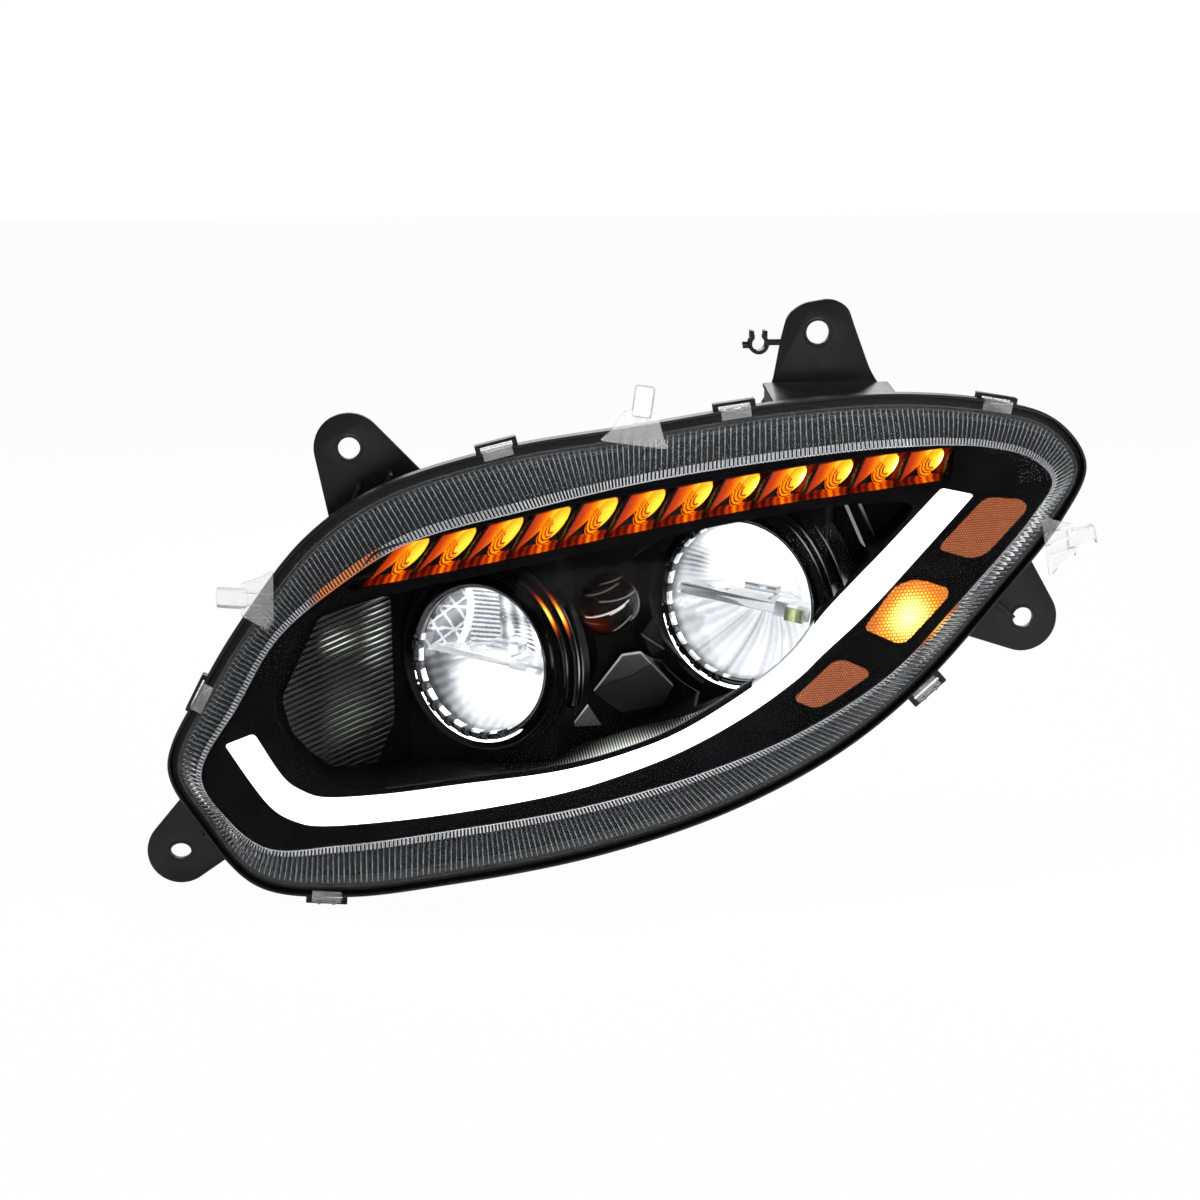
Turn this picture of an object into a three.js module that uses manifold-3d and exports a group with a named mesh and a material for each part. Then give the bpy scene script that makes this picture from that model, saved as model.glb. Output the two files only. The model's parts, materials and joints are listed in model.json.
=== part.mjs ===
// Swept composite headlight with two aimed LED bowls, as separate solids, in millimetres.
// +Z is up and -Y is the front of the lamp. The numbers below are measured from the middle of the lens outline,
// on the plane of the mounting tabs' rear faces, and the whole assembly is set so that its origin is TOP_TAB_FACE.
// The beams point forward, BEAM_TURN to the left of -Y.
import * as THREE from "three";
import Module from "manifold-3d";
import { mergeVertices } from "three/addons/utils/BufferGeometryUtils.js";

const wasm = await Module();
wasm.setup();

// ---------------------------------------------------------------- driving dimensions

const FLANGE_Y = -90; // the lens flange at its foremost place
const WRAP_RADIUS = 1000; // the flange and the face wrap round a vertical cylinder of this radius
const FACE_RISE = 31; // from the flange to the edge of the front face
const FACE_DOME = 10; // extra rise of the face at its middle
const LENS_WALL = 3;
const SHELL_WALL = 2.5;
const SKIN_DEPTH = -24; // front of the inner bezel's skin, measured from the flange
const SKIN_WALL = 2.5;
const REAR_Y = 15; // outside of the housing's rear wall
const TAB_THICK = 5;
const TOP_TAB_FACE = [161, 0, 225]; // place on the top tab's rear face that becomes the origin
const BEAM_TURN = THREE.MathUtils.degToRad(-35);
const BOWL_DEPTH = 50;
const BOWL_WALL = 2.5;
const BOWL_SWING = 8; // room round a bowl for its aiming
const SINK_RADIUS = 26;
const GAP = 0.4; // between pieces that touch in the real lamp
const RING_STEPS = 44; // points round the outline
const CURVE_STEPS = 6; // segments in each drawn curve of an outline

// Outline of the housing's rim, then of the front face's edge, in X and Z, paired point by point.
const RIM = [
  [-379, -110], [-349, -41], [-310, 24], [-260, 89], [-203, 131], [-105, 165], [8, 184],
  [120, 200], [219, 204], [306, 193], [361, 173], [387, 135], [366, 91], [310, 28],
  [247, -37], [178, -89], [85, -135], [-24, -170], [-148, -196], [-237, -210], [-307, -205], [-353, -158],
];
const FACE = [
  [-351, -108], [-318, -44], [-284, 14], [-235, 58], [-178, 95], [-83, 123], [5, 144],
  [116, 160], [219, 167], [291, 163], [334, 149], [351, 129], [337, 104], [275, 38],
  [215, -21], [141, -65], [54, -98], [-42, -124], [-147, -144], [-236, -160], [-297, -166], [-332, -141],
];

// Light guide: its edge on the bowls' side and its outer edge, both from the inboard end.
const GUIDE_INNER = [
  [-304, -69], [-281, -104], [-264, -115], [-246, -119], [-198, -114], [-137, -104], [-62, -93],
  [-11, -80], [41, -60], [102, -23], [133, 3], [156, 33], [203, 80], [252, 129],
];
const GUIDE_OUTER = [
  [-328, -80], [-306, -112], [-290, -131], [-273, -140], [-251, -143], [-199, -137], [-137, -127],
  [-62, -112], [-11, -97], [41, -77], [92, -50], [133, -22], [156, -1], [191, 30], [232, 72], [280, 122],
];

// Window of the turn signal strip: its upper and lower edges, from the inboard end.
const STRIP_UPPER = [[-203, 83], [-177, 93], [-103, 111], [-22, 129], [105, 148], [184, 157], [262, 162]];
const STRIP_LOWER = [[-226, 54], [-184, 62], [-83, 84], [18, 105], [105, 120], [185, 129], [258, 136]];
const CELL_COUNT = 12;

// Recess that holds the two bowls, seen from the front.
const RECESS = [
  [-248, 30], [-286, -40], [-279, -70], [-262, -93], [-243, -108], [-198, -110], [-137, -100], [-62, -89],
  [-11, -76], [40, -56], [99, -20], [129, 6], [152, 36], [199, 82], [228, 110], [185, 112],
  [105, 104], [18, 89], [-83, 68], [-184, 46],
];
// Floor of the recess, seen from above: it steps back beside each bowl.
const RECESS_FLOOR = [
  [-310, -75], [-176, -14], [-60, -97], [-44, -60], [8, -46], [31, -27], [156, -97], [172, -48], [250, -58],
];

const SIDE_MARKER = [
  [224, 55], [236, 55], [259, 47], [260, 40], [225, 5], [217, 4], [190, 17], [191, 21], [213, 50],
];
const UPPER_REFLEX = [
  [290, 120], [321, 116], [327, 111], [325, 105], [292, 73], [279, 70], [252, 79], [253, 84],
];
const LOWER_REFLEX = [
  [163, -8], [173, -7], [193, -17], [193, -22], [160, -42], [149, -46], [133, -39], [133, -35],
];
const FLUTED_PANEL = [
  [-250, 24], [-281, -40], [-274, -68], [-258, -89], [-241, -103], [-205, -105], [-190, -70], [-192, 36],
];
const PANEL_RIBS = 15;

const HIGH_BEAM = { x: -116, y: -58, z: -11.5, radius: 65 };
const LOW_BEAM = { x: 97, y: -36, z: 29.5, radius: 71 };

// Ball points of the aimed carrier: a fixed pivot, one ball below it and one beside it.
const BALL_Y = -6;
const BALL_RADIUS = 6;
const BALL_SEAT = BALL_RADIUS + 0.8;
const PIVOT = { x: 28, z: 82 };
const VERTICAL_AIM = { x: 28, z: -50 };
const HORIZONTAL_AIM = { x: -132, z: 82 };

const HIGH_POD = { x: -72, z: -11, radius: 52, rear: 44 };
const LOW_POD = { x: 119, z: 30, radius: 65, rear: 64 };
const CAP_OPENING = 38;
const CAP_RADIUS = 46;
const CAP_LUGS = 8;

// ---------------------------------------------------------------- solids

function toSolid(geometry) {
  const plain = geometry.index ? geometry.toNonIndexed() : geometry.clone();
  plain.deleteAttribute("normal");
  plain.deleteAttribute("uv");
  const merged = mergeVertices(plain, 1e-3);
  return new wasm.Manifold(
    new wasm.Mesh({
      numProp: 3,
      vertProperties: merged.attributes.position.array,
      triVerts: new Uint32Array(merged.index.array),
    }),
  );
}

function toGeometry(solid) {
  const mesh = solid.getMesh();
  const geometry = new THREE.BufferGeometry();
  geometry.setAttribute("position", new THREE.BufferAttribute(mesh.vertProperties.slice(), 3));
  geometry.setIndex(new THREE.BufferAttribute(mesh.triVerts.slice(), 1));
  geometry.computeVertexNormals();
  return geometry;
}

const join = (...solids) => solids.reduce((a, b) => a.add(b));
const cut = (from, ...tools) => tools.reduce((a, b) => a.subtract(b), from);

const X = new THREE.Vector3(1, 0, 0);
const Y = new THREE.Vector3(0, 1, 0);
const Z = new THREE.Vector3(0, 0, 1);

const toShape = (points) => new THREE.Shape(points.map(([a, b]) => new THREE.Vector2(a, b)));

function extrude(outline, length) {
  const shape = outline instanceof THREE.Shape ? outline : toShape(outline);
  return new THREE.ExtrudeGeometry(shape, { depth: length, bevelEnabled: false, curveSegments: CURVE_STEPS });
}

// An outline in X and Z, drawn out along Y from front to back.
function prism(outline, front, back) {
  const geometry = extrude(outline, back - front);
  geometry.applyMatrix4(new THREE.Matrix4().makeBasis(X, Z, Y.clone().negate()));
  geometry.translate(0, back, 0);
  return toSolid(geometry);
}

// An outline in X and Y, drawn out along Z.
function tower(outline, low, high) {
  const geometry = extrude(outline, high - low);
  geometry.translate(0, 0, low);
  return toSolid(geometry);
}

// An outline in Y and Z, drawn out along X.
function bar(outline, left, right) {
  const geometry = extrude(outline, right - left);
  geometry.applyMatrix4(new THREE.Matrix4().makeBasis(Y, Z, X));
  geometry.translate(left, 0, 0);
  return toSolid(geometry);
}

function box(width, depth, height, x, y, z, turn = 0) {
  const geometry = new THREE.BoxGeometry(width, depth, height);
  geometry.rotateY(turn);
  geometry.translate(x, y, z);
  return toSolid(geometry);
}

// A cylinder along Y.
function rod(radius, front, back, x, z, sides = 16) {
  const geometry = new THREE.CylinderGeometry(radius, radius, back - front, sides);
  geometry.translate(x, (front + back) / 2, z);
  return toSolid(geometry);
}

function ball(radius, x, y, z) {
  const geometry = new THREE.SphereGeometry(radius, 14, 8);
  geometry.translate(x, y, z);
  return toSolid(geometry);
}

// A profile of [radius, distance along Y] turned about Y. A profile clear of the axis is closed first.
function turned(profile, sides = 24) {
  const closed = profile[0][0] > 0 ? [...profile, profile[0]] : profile;
  const points = closed.map(([radius, along]) => new THREE.Vector2(radius, along));
  const solid = toSolid(new THREE.LatheGeometry(points, sides));
  return solid.volume() < 0 ? toSolid(new THREE.LatheGeometry(points.reverse(), sides)) : solid;
}

const mesh = (name, solid, colour, roughness = 0.5, metalness = 0) => {
  const material = new THREE.MeshStandardMaterial({ color: colour, roughness, metalness });
  const made = new THREE.Mesh(toGeometry(solid), material);
  made.name = name;
  return made;
};

// ---------------------------------------------------------------- the wrapped outline

const wrap = (x) => WRAP_RADIUS - Math.sqrt(WRAP_RADIUS ** 2 - x ** 2);
const closedCurve = (points) =>
  new THREE.CatmullRomCurve3(points.map(([x, z]) => new THREE.Vector3(x, 0, z)), true, "centripetal");
const rimCurve = closedCurve(RIM);
const faceCurve = closedCurve(FACE);

// One ring of points. share runs from the rim (0) to the face's edge (1), and inset adds to it in mm.
// shrink scales the ring about the middle of the face. It sits at depth behind the flange, or at plane.
function ring({ share = 0, inset = 0, shrink = 1, depth = 0, plane = null }) {
  return Array.from({ length: RING_STEPS }, (_, i) => {
    const t = i / RING_STEPS;
    const rim = rimCurve.getPoint(t);
    const across = faceCurve.getPoint(t).sub(rim);
    const point = rim.addScaledVector(across, share + inset / across.length()).multiplyScalar(shrink);
    point.y = plane ?? FLANGE_Y + wrap(point.x) + depth;
    return point;
  });
}

// A closed surface through rings. With poles, each end closes on a point. Without, its ends are joined.
function loft(rings, frontPole = null, rearPole = null) {
  const count = RING_STEPS;
  const points = rings.flat();
  const faces = [];
  const strips = frontPole ? rings.length - 1 : rings.length;
  for (let r = 0; r < strips; r++) {
    const here = r * count;
    const next = ((r + 1) % rings.length) * count;
    for (let i = 0; i < count; i++) {
      const j = (i + 1) % count;
      faces.push(here + i, here + j, next + j, here + i, next + j, next + i);
    }
  }
  if (frontPole) {
    const last = (rings.length - 1) * count;
    const front = points.push(frontPole) - 1;
    const rear = points.push(rearPole) - 1;
    for (let i = 0; i < count; i++) {
      const j = (i + 1) % count;
      faces.push(front, j, i, rear, last + i, last + j);
    }
  }
  const build = (order) => {
    const geometry = new THREE.BufferGeometry().setFromPoints(points);
    geometry.setIndex(order);
    return toSolid(geometry);
  };
  const solid = build(faces);
  return solid.volume() < 0 ? build(faces.slice().reverse()) : solid;
}

const onAxis = (y) => new THREE.Vector3(0, y, 0);

// A slab that follows the wrap, between two depths from the flange.
function wrappedSlab(front, back) {
  const half = 400;
  const steps = 14;
  const xs = Array.from({ length: steps + 1 }, (_, i) => -half + (2 * half * i) / steps);
  const ahead = xs.map((x) => [x, FLANGE_Y + wrap(x) + front]);
  const behind = xs.map((x) => [x, FLANGE_Y + wrap(x) + back]).reverse();
  return tower([...ahead, ...behind], -260, 260);
}

const wrapped = (outline, front, back) => prism(outline, -200, 60).intersect(wrappedSlab(front, back));

// A copy of a convex-ish outline moved outwards by a distance (inwards if negative), by its corner normals.
function grown(outline, distance) {
  const area = outline.reduce((sum, [x, z], i) => {
    const [nx, nz] = outline[(i + 1) % outline.length];
    return sum + x * nz - nx * z;
  }, 0);
  const side = Math.sign(area) * distance;
  return outline.map(([x, z], i) => {
    const [px, pz] = outline[(i + outline.length - 1) % outline.length];
    const [nx, nz] = outline[(i + 1) % outline.length];
    const before = new THREE.Vector2(x - px, z - pz).normalize();
    const after = new THREE.Vector2(nx - x, nz - z).normalize();
    const normal = new THREE.Vector2(before.y + after.y, -before.x - after.x).normalize();
    const stretch = Math.min(1.6, 1 / Math.max(0.3, normal.x * before.y - normal.y * before.x));
    return [x + normal.x * side * stretch, z + normal.y * side * stretch];
  });
}

const smooth = (points, steps) => {
  const curve = new THREE.SplineCurve(points.map(([x, z]) => new THREE.Vector2(x, z)));
  return curve.getPoints(steps).map((p) => [p.x, p.y]);
};

// ---------------------------------------------------------------- outer lens and its seal

const lensProfile = (into) => [
  ring({ inset: 9 + into, depth: 7 }),
  ring({ inset: 9 + into, depth: -3 + into * 0.3 }),
  ring({ inset: 12 + into, depth: -5 + into * 0.5 }),
  ring({ share: 0.8, inset: into, depth: 6 - FACE_RISE + into * 0.8 }),
  ring({ share: 1, inset: into * 0.7, depth: into - FACE_RISE }),
  ring({ share: 1, shrink: 0.75, depth: into - FACE_RISE - FACE_DOME * 0.44 }),
  ring({ share: 1, shrink: 0.4, depth: into - FACE_RISE - FACE_DOME * 0.84 }),
];

// Clear moulding tabs on the lens flange, each a flared plate with a square peg.
const GATE_TABS = [
  { x: 3, z: 171, turn: -8 },
  { x: -288, z: 36, turn: 90 },
  { x: 352, z: 72, turn: -80 },
];
const GATE_PLATE = [[-36, -6], [36, -6], [28, 6], [18, 26], [-14, 26], [-26, 6]];
const GATE_PEG = [[-5, 20], [11, 20], [11, 45], [-5, 45]];

function gateTab({ x, z, turn }) {
  const angle = THREE.MathUtils.degToRad(turn);
  const [c, s] = [Math.cos(angle), Math.sin(angle)];
  const place = ([a, b]) => [x + a * c - b * s, z + a * s + b * c];
  return join(wrapped(GATE_PLATE.map(place), -6, -3), wrapped(GATE_PEG.map(place), -8, 4));
}

function lens() {
  const outer = lensProfile(0);
  const inner = lensProfile(LENS_WALL).reverse();
  const top = FLANGE_Y - FACE_RISE - FACE_DOME;
  const shell = loftCup(outer, inner, top, top + LENS_WALL);
  return join(shell, ...GATE_TABS.map((tab) => cut(gateTab(tab), lensCore())));
}

// Outer rings from the foot to the face, then inner rings back to the foot: a cup with its own thickness.
function loftCup(outer, inner, outerTop, innerTop) {
  const rings = [...outer.slice().reverse(), ...inner.slice().reverse()];
  return loft(rings, onAxis(outerTop), onAxis(innerTop));
}

// Everything inside the lens's outer wall, used to trim what stands on its outside.
function lensCore() {
  return loft(
    [ring({ inset: 11.5, depth: -60 }), ring({ inset: 11.5, depth: 30 })],
    onAxis(FLANGE_Y - 60),
    onAxis(FLANGE_Y + 30),
  );
}

const sectionRing = (corners) => loft(corners.map(([inset, depth]) => ring({ inset, depth })));

const lensSeal = () => sectionRing([[3, 7.5], [15, 7.5], [15, 10.6], [3, 10.6]]);

// ---------------------------------------------------------------- housing

const TOP_TAB = (() => {
  const shape = new THREE.Shape();
  shape.moveTo(112, 150);
  shape.lineTo(112, 184);
  shape.lineTo(124, 204);
  shape.lineTo(131, 243);
  shape.quadraticCurveTo(134, 268, 148, 271);
  shape.lineTo(172, 275);
  shape.quadraticCurveTo(186, 273, 191, 253);
  shape.lineTo(206, 213);
  shape.lineTo(223, 190);
  shape.lineTo(223, 150);
  return shape;
})();

// A tab with a round end of the given radius about its hole, running back to two points on the housing.
function roundTab(x, z, radius, rootA, rootB) {
  const middle = [(rootA[0] + rootB[0]) / 2, (rootA[1] + rootB[1]) / 2];
  const reach = Math.hypot(x - middle[0], z - middle[1]);
  const [acrossX, acrossZ] = [((middle[1] - z) / reach) * radius, ((x - middle[0]) / reach) * radius];
  const web = new THREE.Shape();
  web.moveTo(x - acrossX, z - acrossZ);
  web.lineTo(x + acrossX, z + acrossZ);
  web.lineTo(...rootA);
  web.lineTo(...rootB);
  return join(rod(radius, -TAB_THICK, 0, x, z, 20), prism(web, -TAB_THICK, 0));
}

const TAB_HOLES = [
  { x: 161, z: 247, radius: 9.5 },
  { x: -224, z: 155, radius: 9 },
  { x: -371, z: -185, radius: 8.5, squash: 0.78 },
  { x: 339, z: 5, radius: 8.5 },
];

function tabs() {
  return join(
    prism(TOP_TAB, -TAB_THICK, 0),
    roundTab(-224, 155, 29, [-238, 80], [-150, 120]),
    roundTab(-371, -185, 28, [-300, -170], [-345, -110]),
    roundTab(339, 5, 29, [329, 82], [254, 2]),
  );
}

function tabHole({ x, z, radius, squash = 1 }) {
  return rod(radius, -30, 10, 0, 0).scale([1, 1, squash]).translate([x, 0, z]);
}

// Shelf that carries the top tab, a sloping plate on four webs, open beside the tab.
function tabShelf() {
  const plate = bar([[-78, 195], [-4, 202], [-4, 206], [-78, 199]], 116, 220);
  const web = [[-72, 170], [-76, 197], [-14, 203], [-14, 170]];
  return join(plate, ...[116, 150, 184, 217].map((x) => bar(web, x, x + 3)));
}

function webs() {
  return join(
    box(3, 40, 34, -222, -20, 112, 0.35),
    box(3, 34, 34, -196, -20, 122, 0.35),
    box(40, 24, 3, 312, -14, 22, 0.7),
    box(3, 22, 30, -340, -8, -160, 0.8),
  );
}

// Small open hook on the top tab that holds the harness.
function cableHook() {
  const arm = box(14, 4, 5, 124, -3, 239);
  const hook = rod(8.5, -9, 3, 112, 238, 16);
  const throat = rod(5.5, -12, 6, 112, 238, 16);
  const mouth = box(7, 20, 12, 112, -3, 246);
  return join(arm, cut(hook, throat, mouth));
}

// Snap loops round the rim that hold the lens: where each one sits, and its turn.
const SNAPS = [
  { x: -105, z: 163, turn: -14 },
  { x: 84, z: 193, turn: -8 },
  { x: 303, z: 190, turn: 10 },
  { x: -347, z: -47, turn: -63 },
  { x: -248, z: -209, turn: 184 },
  { x: 247, z: -41, turn: 138 },
];
const SNAP_WIDTH = 26;

// A bar outside the rim with a slot through it.
function snapLoop({ x, z, turn }) {
  const bridge = box(SNAP_WIDTH + 8, 10, 13, 0, 7, 2);
  const slot = box(SNAP_WIDTH, 14, 5, 0, 7, 3.5);
  return cut(bridge, slot).rotate([0, turn, 0]).translate([x, FLANGE_Y + wrap(x), z]);
}

function pod({ x, z, radius, rear }) {
  const front = REAR_Y - 1;
  const profile = [
    [0, front], [radius, front], [radius, rear - 16], [radius - 4, rear - 4], [radius - 8, rear], [0, rear],
  ];
  return turned(profile, 24).translate([x, 0, z]);
}

function podCavity({ x, z, radius, rear }) {
  const inside = radius - SHELL_WALL;
  const profile = [[0, -10], [inside, -10], [inside, rear - 16], [inside - 4, rear - 4], [0, rear - 4]];
  return join(turned(profile, 24).translate([x, 0, z]), rod(CAP_OPENING, 0, rear + 5, x, z, 24));
}

// The housing's shell: round the back, over the rim, through the seal's groove and down inside.
function housingShell() {
  const rings = [
    ring({ inset: 30, plane: REAR_Y }),
    ring({ inset: 22, plane: REAR_Y - 7 }),
    ring({ inset: 12, depth: 15 }),
    ring({ depth: 13 }),
    ring({ depth: -2 }),
    ring({ inset: 2.5, depth: -2 }),
    ring({ inset: 2.5, depth: 10.8 }),
    ring({ inset: 15.5, depth: 10.8 }),
    ring({ inset: 15.5, depth: -1 }),
    ring({ inset: 18.5, depth: -1 }),
    ring({ inset: 18.5, depth: 12 }),
    ring({ inset: 26, plane: REAR_Y - 9 }),
    ring({ inset: 32, plane: REAR_Y - SHELL_WALL }),
  ];
  return loft(rings, onAxis(REAR_Y), onAxis(REAR_Y - SHELL_WALL));
}

// Everything inside the shell's outer face, used to trim what stands on its outside.
function housingCore() {
  const rings = [
    ring({ inset: 1.2, depth: -60 }),
    ring({ inset: 1.2, depth: 12.4 }),
    ring({ inset: 12.6, depth: 14.4 }),
    ring({ inset: 23.5, plane: REAR_Y - 8 }),
    ring({ inset: 31, plane: REAR_Y - 1 }),
  ];
  return loft(rings, onAxis(FLANGE_Y - 60), onAxis(REAR_Y - 1));
}

const STIFFENERS = [
  [-190, 58, 30], [-240, -60, -20], [200, -20, -10], [230, 120, 40], [-10, 130, 25], [-40, -120, 12],
];

// Ribs on the rear wall, each given by its middle in X and Z and its slope in degrees.
function rearRibs() {
  return join(...STIFFENERS.map(([x, z, slope]) => {
    const rib = box(60, 7, 3, 0, REAR_Y + 2.5, 0);
    return rib.rotate([0, slope, 0]).translate([x, 0, z]);
  }));
}

const BEZEL_SCREWS = [{ x: -236, z: 8 }, { x: -226, z: -72 }, { x: 190, z: 93 }];
const POST_RADIUS = 5;
const BREATHERS = [{ x: 40, z: 132 }, { x: -180, z: -60 }];
const GROMMET = { x: 232, z: 78 };
const REAR_HOLES = [
  { ...VERTICAL_AIM, radius: 8 },
  { ...HORIZONTAL_AIM, radius: 8 },
  { ...PIVOT, radius: 5 },
  { ...GROMMET, radius: 10 },
  ...BREATHERS.map((place) => ({ ...place, radius: 5 })),
  ...BEZEL_SCREWS.map((place) => ({ ...place, radius: 2.5 })),
];

function housing() {
  const outside = join(tabs(), tabShelf(), webs(), cableHook(), ...SNAPS.map(snapLoop));
  const body = join(housingShell(), cut(outside, housingCore()), pod(HIGH_POD), pod(LOW_POD), rearRibs());
  const holes = REAR_HOLES.map(({ x, z, radius }) => rod(radius, 0, 30, x, z));
  return cut(body, podCavity(HIGH_POD), podCavity(LOW_POD), ...holes, ...TAB_HOLES.map(tabHole));
}

// ---------------------------------------------------------------- light guide, strip, reflexes, marker

const guideOutline = (steps = 26) => [
  ...smooth(GUIDE_INNER, steps),
  [277, 130], [282, 127],
  ...smooth(GUIDE_OUTER, steps).reverse(),
];
const stripOutline = () => [...STRIP_UPPER, ...STRIP_LOWER.slice().reverse()];

const lightGuide = () => wrapped(guideOutline(), SKIN_DEPTH - 2.5, -15);
const guideTray = () => wrapped(guideOutline(), -15 + GAP, -11);

// Pockets of the turn signal strip: slanted cells spaced evenly along the window.
function stripCells(margin) {
  const upper = new THREE.SplineCurve(STRIP_UPPER.map(([x, z]) => new THREE.Vector2(x, z)));
  const lower = new THREE.SplineCurve(STRIP_LOWER.map(([x, z]) => new THREE.Vector2(x, z)));
  const start = 0.03;
  const pitch = 0.965 / CELL_COUNT;
  return Array.from({ length: CELL_COUNT }, (_, i) => {
    const from = start + i * pitch;
    const to = from + pitch * 0.86;
    const [a, b] = [upper.getPointAt(from), upper.getPointAt(to)];
    const [c, d] = [lower.getPointAt(to), lower.getPointAt(from)];
    return [[a.x, a.y - margin], [b.x, b.y - margin], [c.x, c.y + margin], [d.x, d.y + margin]];
  });
}

function turnSignalReflector() {
  const body = wrapped(grown(stripOutline(), -GAP), -22, -3);
  return cut(body, ...stripCells(3.5).map((cell) => prism(cell, -200, 60)));
}

function turnSignalBoard() {
  const board = wrapped(grown(stripOutline(), -2), -3 + GAP, -1);
  const leds = stripCells(3.5).map((cell) => {
    const x = (cell[1][0] + cell[2][0]) / 2 - 8;
    const z = (cell[1][1] + cell[2][1]) / 2 + 2;
    return box(5, 6, 5, x, FLANGE_Y + wrap(x) - 4, z);
  });
  return join(board, ...leds);
}

const markerLens = () => wrapped(SIDE_MARKER, SKIN_DEPTH - 2, SKIN_DEPTH + 5);
const markerBoard = () => wrapped(grown(SIDE_MARKER, -4), -10, -8.4);

function markerHousing() {
  const outer = wrapped(grown(SIDE_MARKER, 1), SKIN_DEPTH + 5 + GAP, -4);
  return cut(outer, wrapped(grown(SIDE_MARKER, -1.2), SKIN_DEPTH, -7 - GAP));
}

const reflex = (outline) => wrapped(outline, SKIN_DEPTH - 1.5, SKIN_DEPTH + 4);

// ---------------------------------------------------------------- inner bezel

const bezelProfile = (into) => [
  ring({ inset: 18.8 + into, depth: 3 }),
  ring({ inset: 18.8 + into, depth: -1 }),
  ring({ share: 0.8, inset: 7 + into, depth: SKIN_DEPTH + 6 + into * 0.8 }),
  ring({ share: 1, inset: 3.5 + into * 0.7, depth: SKIN_DEPTH + into }),
  ring({ share: 1, shrink: 0.5, depth: SKIN_DEPTH + into }),
];

// Space in front of the recess floor, moved back by a wall thickness for the outside of the tub.
function recessSpace(wall) {
  const floor = RECESS_FLOOR.map(([x, y]) => [x, y + wall]);
  return tower([[-310, -160], ...floor, [250, -160]].reverse(), -200, 200);
}

function alongBeam(solid, bowl) {
  return solid.rotate([0, 0, THREE.MathUtils.radToDeg(BEAM_TURN)]).translate([bowl.x, bowl.y, bowl.z]);
}

const beamRod = (bowl, radius, front, back) => alongBeam(rod(radius, front, back, 0, 0, 24), bowl);

// Smoked lamp between the bowls, set in the ledge of the recess floor.
const CENTRE_LAMP = { x: -14, y: -44, z: 32 };
const CENTRE_LAMP_RADIUS = 24;

function bezel() {
  const top = FLANGE_Y + SKIN_DEPTH;
  const skin = loftCup(bezelProfile(0), bezelProfile(SKIN_WALL).reverse(), top, top + SKIN_WALL);
  const tub = prism(grown(RECESS, 1.6), -110, 40)
    .intersect(recessSpace(SKIN_WALL))
    .intersect(wrappedSlab(SKIN_DEPTH + 1, 150));
  const open = prism(RECESS, -200, 40).intersect(recessSpace(0));
  const slots = [guideOutline(), stripOutline(), SIDE_MARKER, UPPER_REFLEX, LOWER_REFLEX].map((outline) =>
    wrapped(grown(outline, GAP), -40, 2),
  );
  const posts = BEZEL_SCREWS.map(({ x, z }) =>
    cut(rod(POST_RADIUS, -60, REAR_Y - SHELL_WALL - GAP, x, z, 12), rod(2.5, -20, 40, x, z, 12)),
  );
  return cut(
    join(skin, tub, ...posts), open, ...slots,
    beamRod(HIGH_BEAM, HIGH_BEAM.radius + BOWL_SWING, -34, 60),
    beamRod(LOW_BEAM, LOW_BEAM.radius + BOWL_SWING, -34, 60),
    rod(CENTRE_LAMP_RADIUS + GAP, -70, 0, CENTRE_LAMP.x, CENTRE_LAMP.z, 20),
    wrapped(grown(SIDE_MARKER, 1 + 2 * GAP), SKIN_DEPTH + 4, 0),
  );
}

// Fluted panel on the inboard slope of the recess, a sheet with slanted ribs.
function flutedPanel() {
  const [start, end] = RECESS_FLOOR;
  const slope = (end[1] - start[1]) / (end[0] - start[0]);
  const y = (x) => start[1] + slope * (x - start[0]) - GAP;
  const [left, right] = [-300, -180];
  const sheet = (front, back) => {
    const near = [[left, y(left) + front], [right, y(right) + front]];
    const far = [[right, y(right) + back], [left, y(left) + back]];
    return tower([...near, ...far], -130, 60);
  };
  const outline = prism(FLUTED_PANEL, -120, 40);
  const ribs = Array.from({ length: PANEL_RIBS }, (_, i) => box(150, 90, 4, -235, -45, 66 - i * 12, -0.35));
  const ribbed = join(...ribs).intersect(sheet(-4, -1));
  return join(sheet(-2.2, 0), ribbed).intersect(outline);
}

function centreLampLens() {
  const radius = CENTRE_LAMP_RADIUS;
  const profile = [[0, -46], [9, -43], [16, -34], [21, -18], [radius, 0], [radius, 3]];
  const inner = [[radius - 2.5, 3], [18.5, -17], [14, -32], [8, -40], [0, -43]];
  return turned([...profile, ...inner], 20).translate([CENTRE_LAMP.x, CENTRE_LAMP.y, CENTRE_LAMP.z]);
}

function centreLampBulb() {
  const profile = [[0, -30], [6, -26], [8, -16], [8, -2], [14, -2], [14, 12], [0, 12]];
  return turned(profile, 16).translate([CENTRE_LAMP.x, CENTRE_LAMP.y, CENTRE_LAMP.z]);
}

// ---------------------------------------------------------------- aimed carrier and its bowls

const bowlCurve = (radius, wall) => {
  const steps = 5;
  const throat = 9;
  return Array.from({ length: steps + 1 }, (_, i) => {
    const r = throat + ((radius - throat) * i) / steps;
    return [r + wall * 0.4, BOWL_DEPTH * (1 - (r / radius) ** 2) + wall * 0.9];
  });
};

function reflector(bowl) {
  const radius = bowl.radius - 5;
  const inner = bowlCurve(radius, 0);
  const outer = bowlCurve(radius, BOWL_WALL);
  return alongBeam(turned([...inner, ...outer.reverse()]), bowl);
}

// Space inside a bowl, kept clear of its wall.
function bowlSpace(bowl) {
  const curve = bowlCurve(bowl.radius - 5, -GAP * 2);
  return turned([[0, -20], [bowl.radius - 6, -20], ...curve.reverse(), [0, BOWL_DEPTH - 2]]);
}

const RING_NOTCHES = 10;

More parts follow.
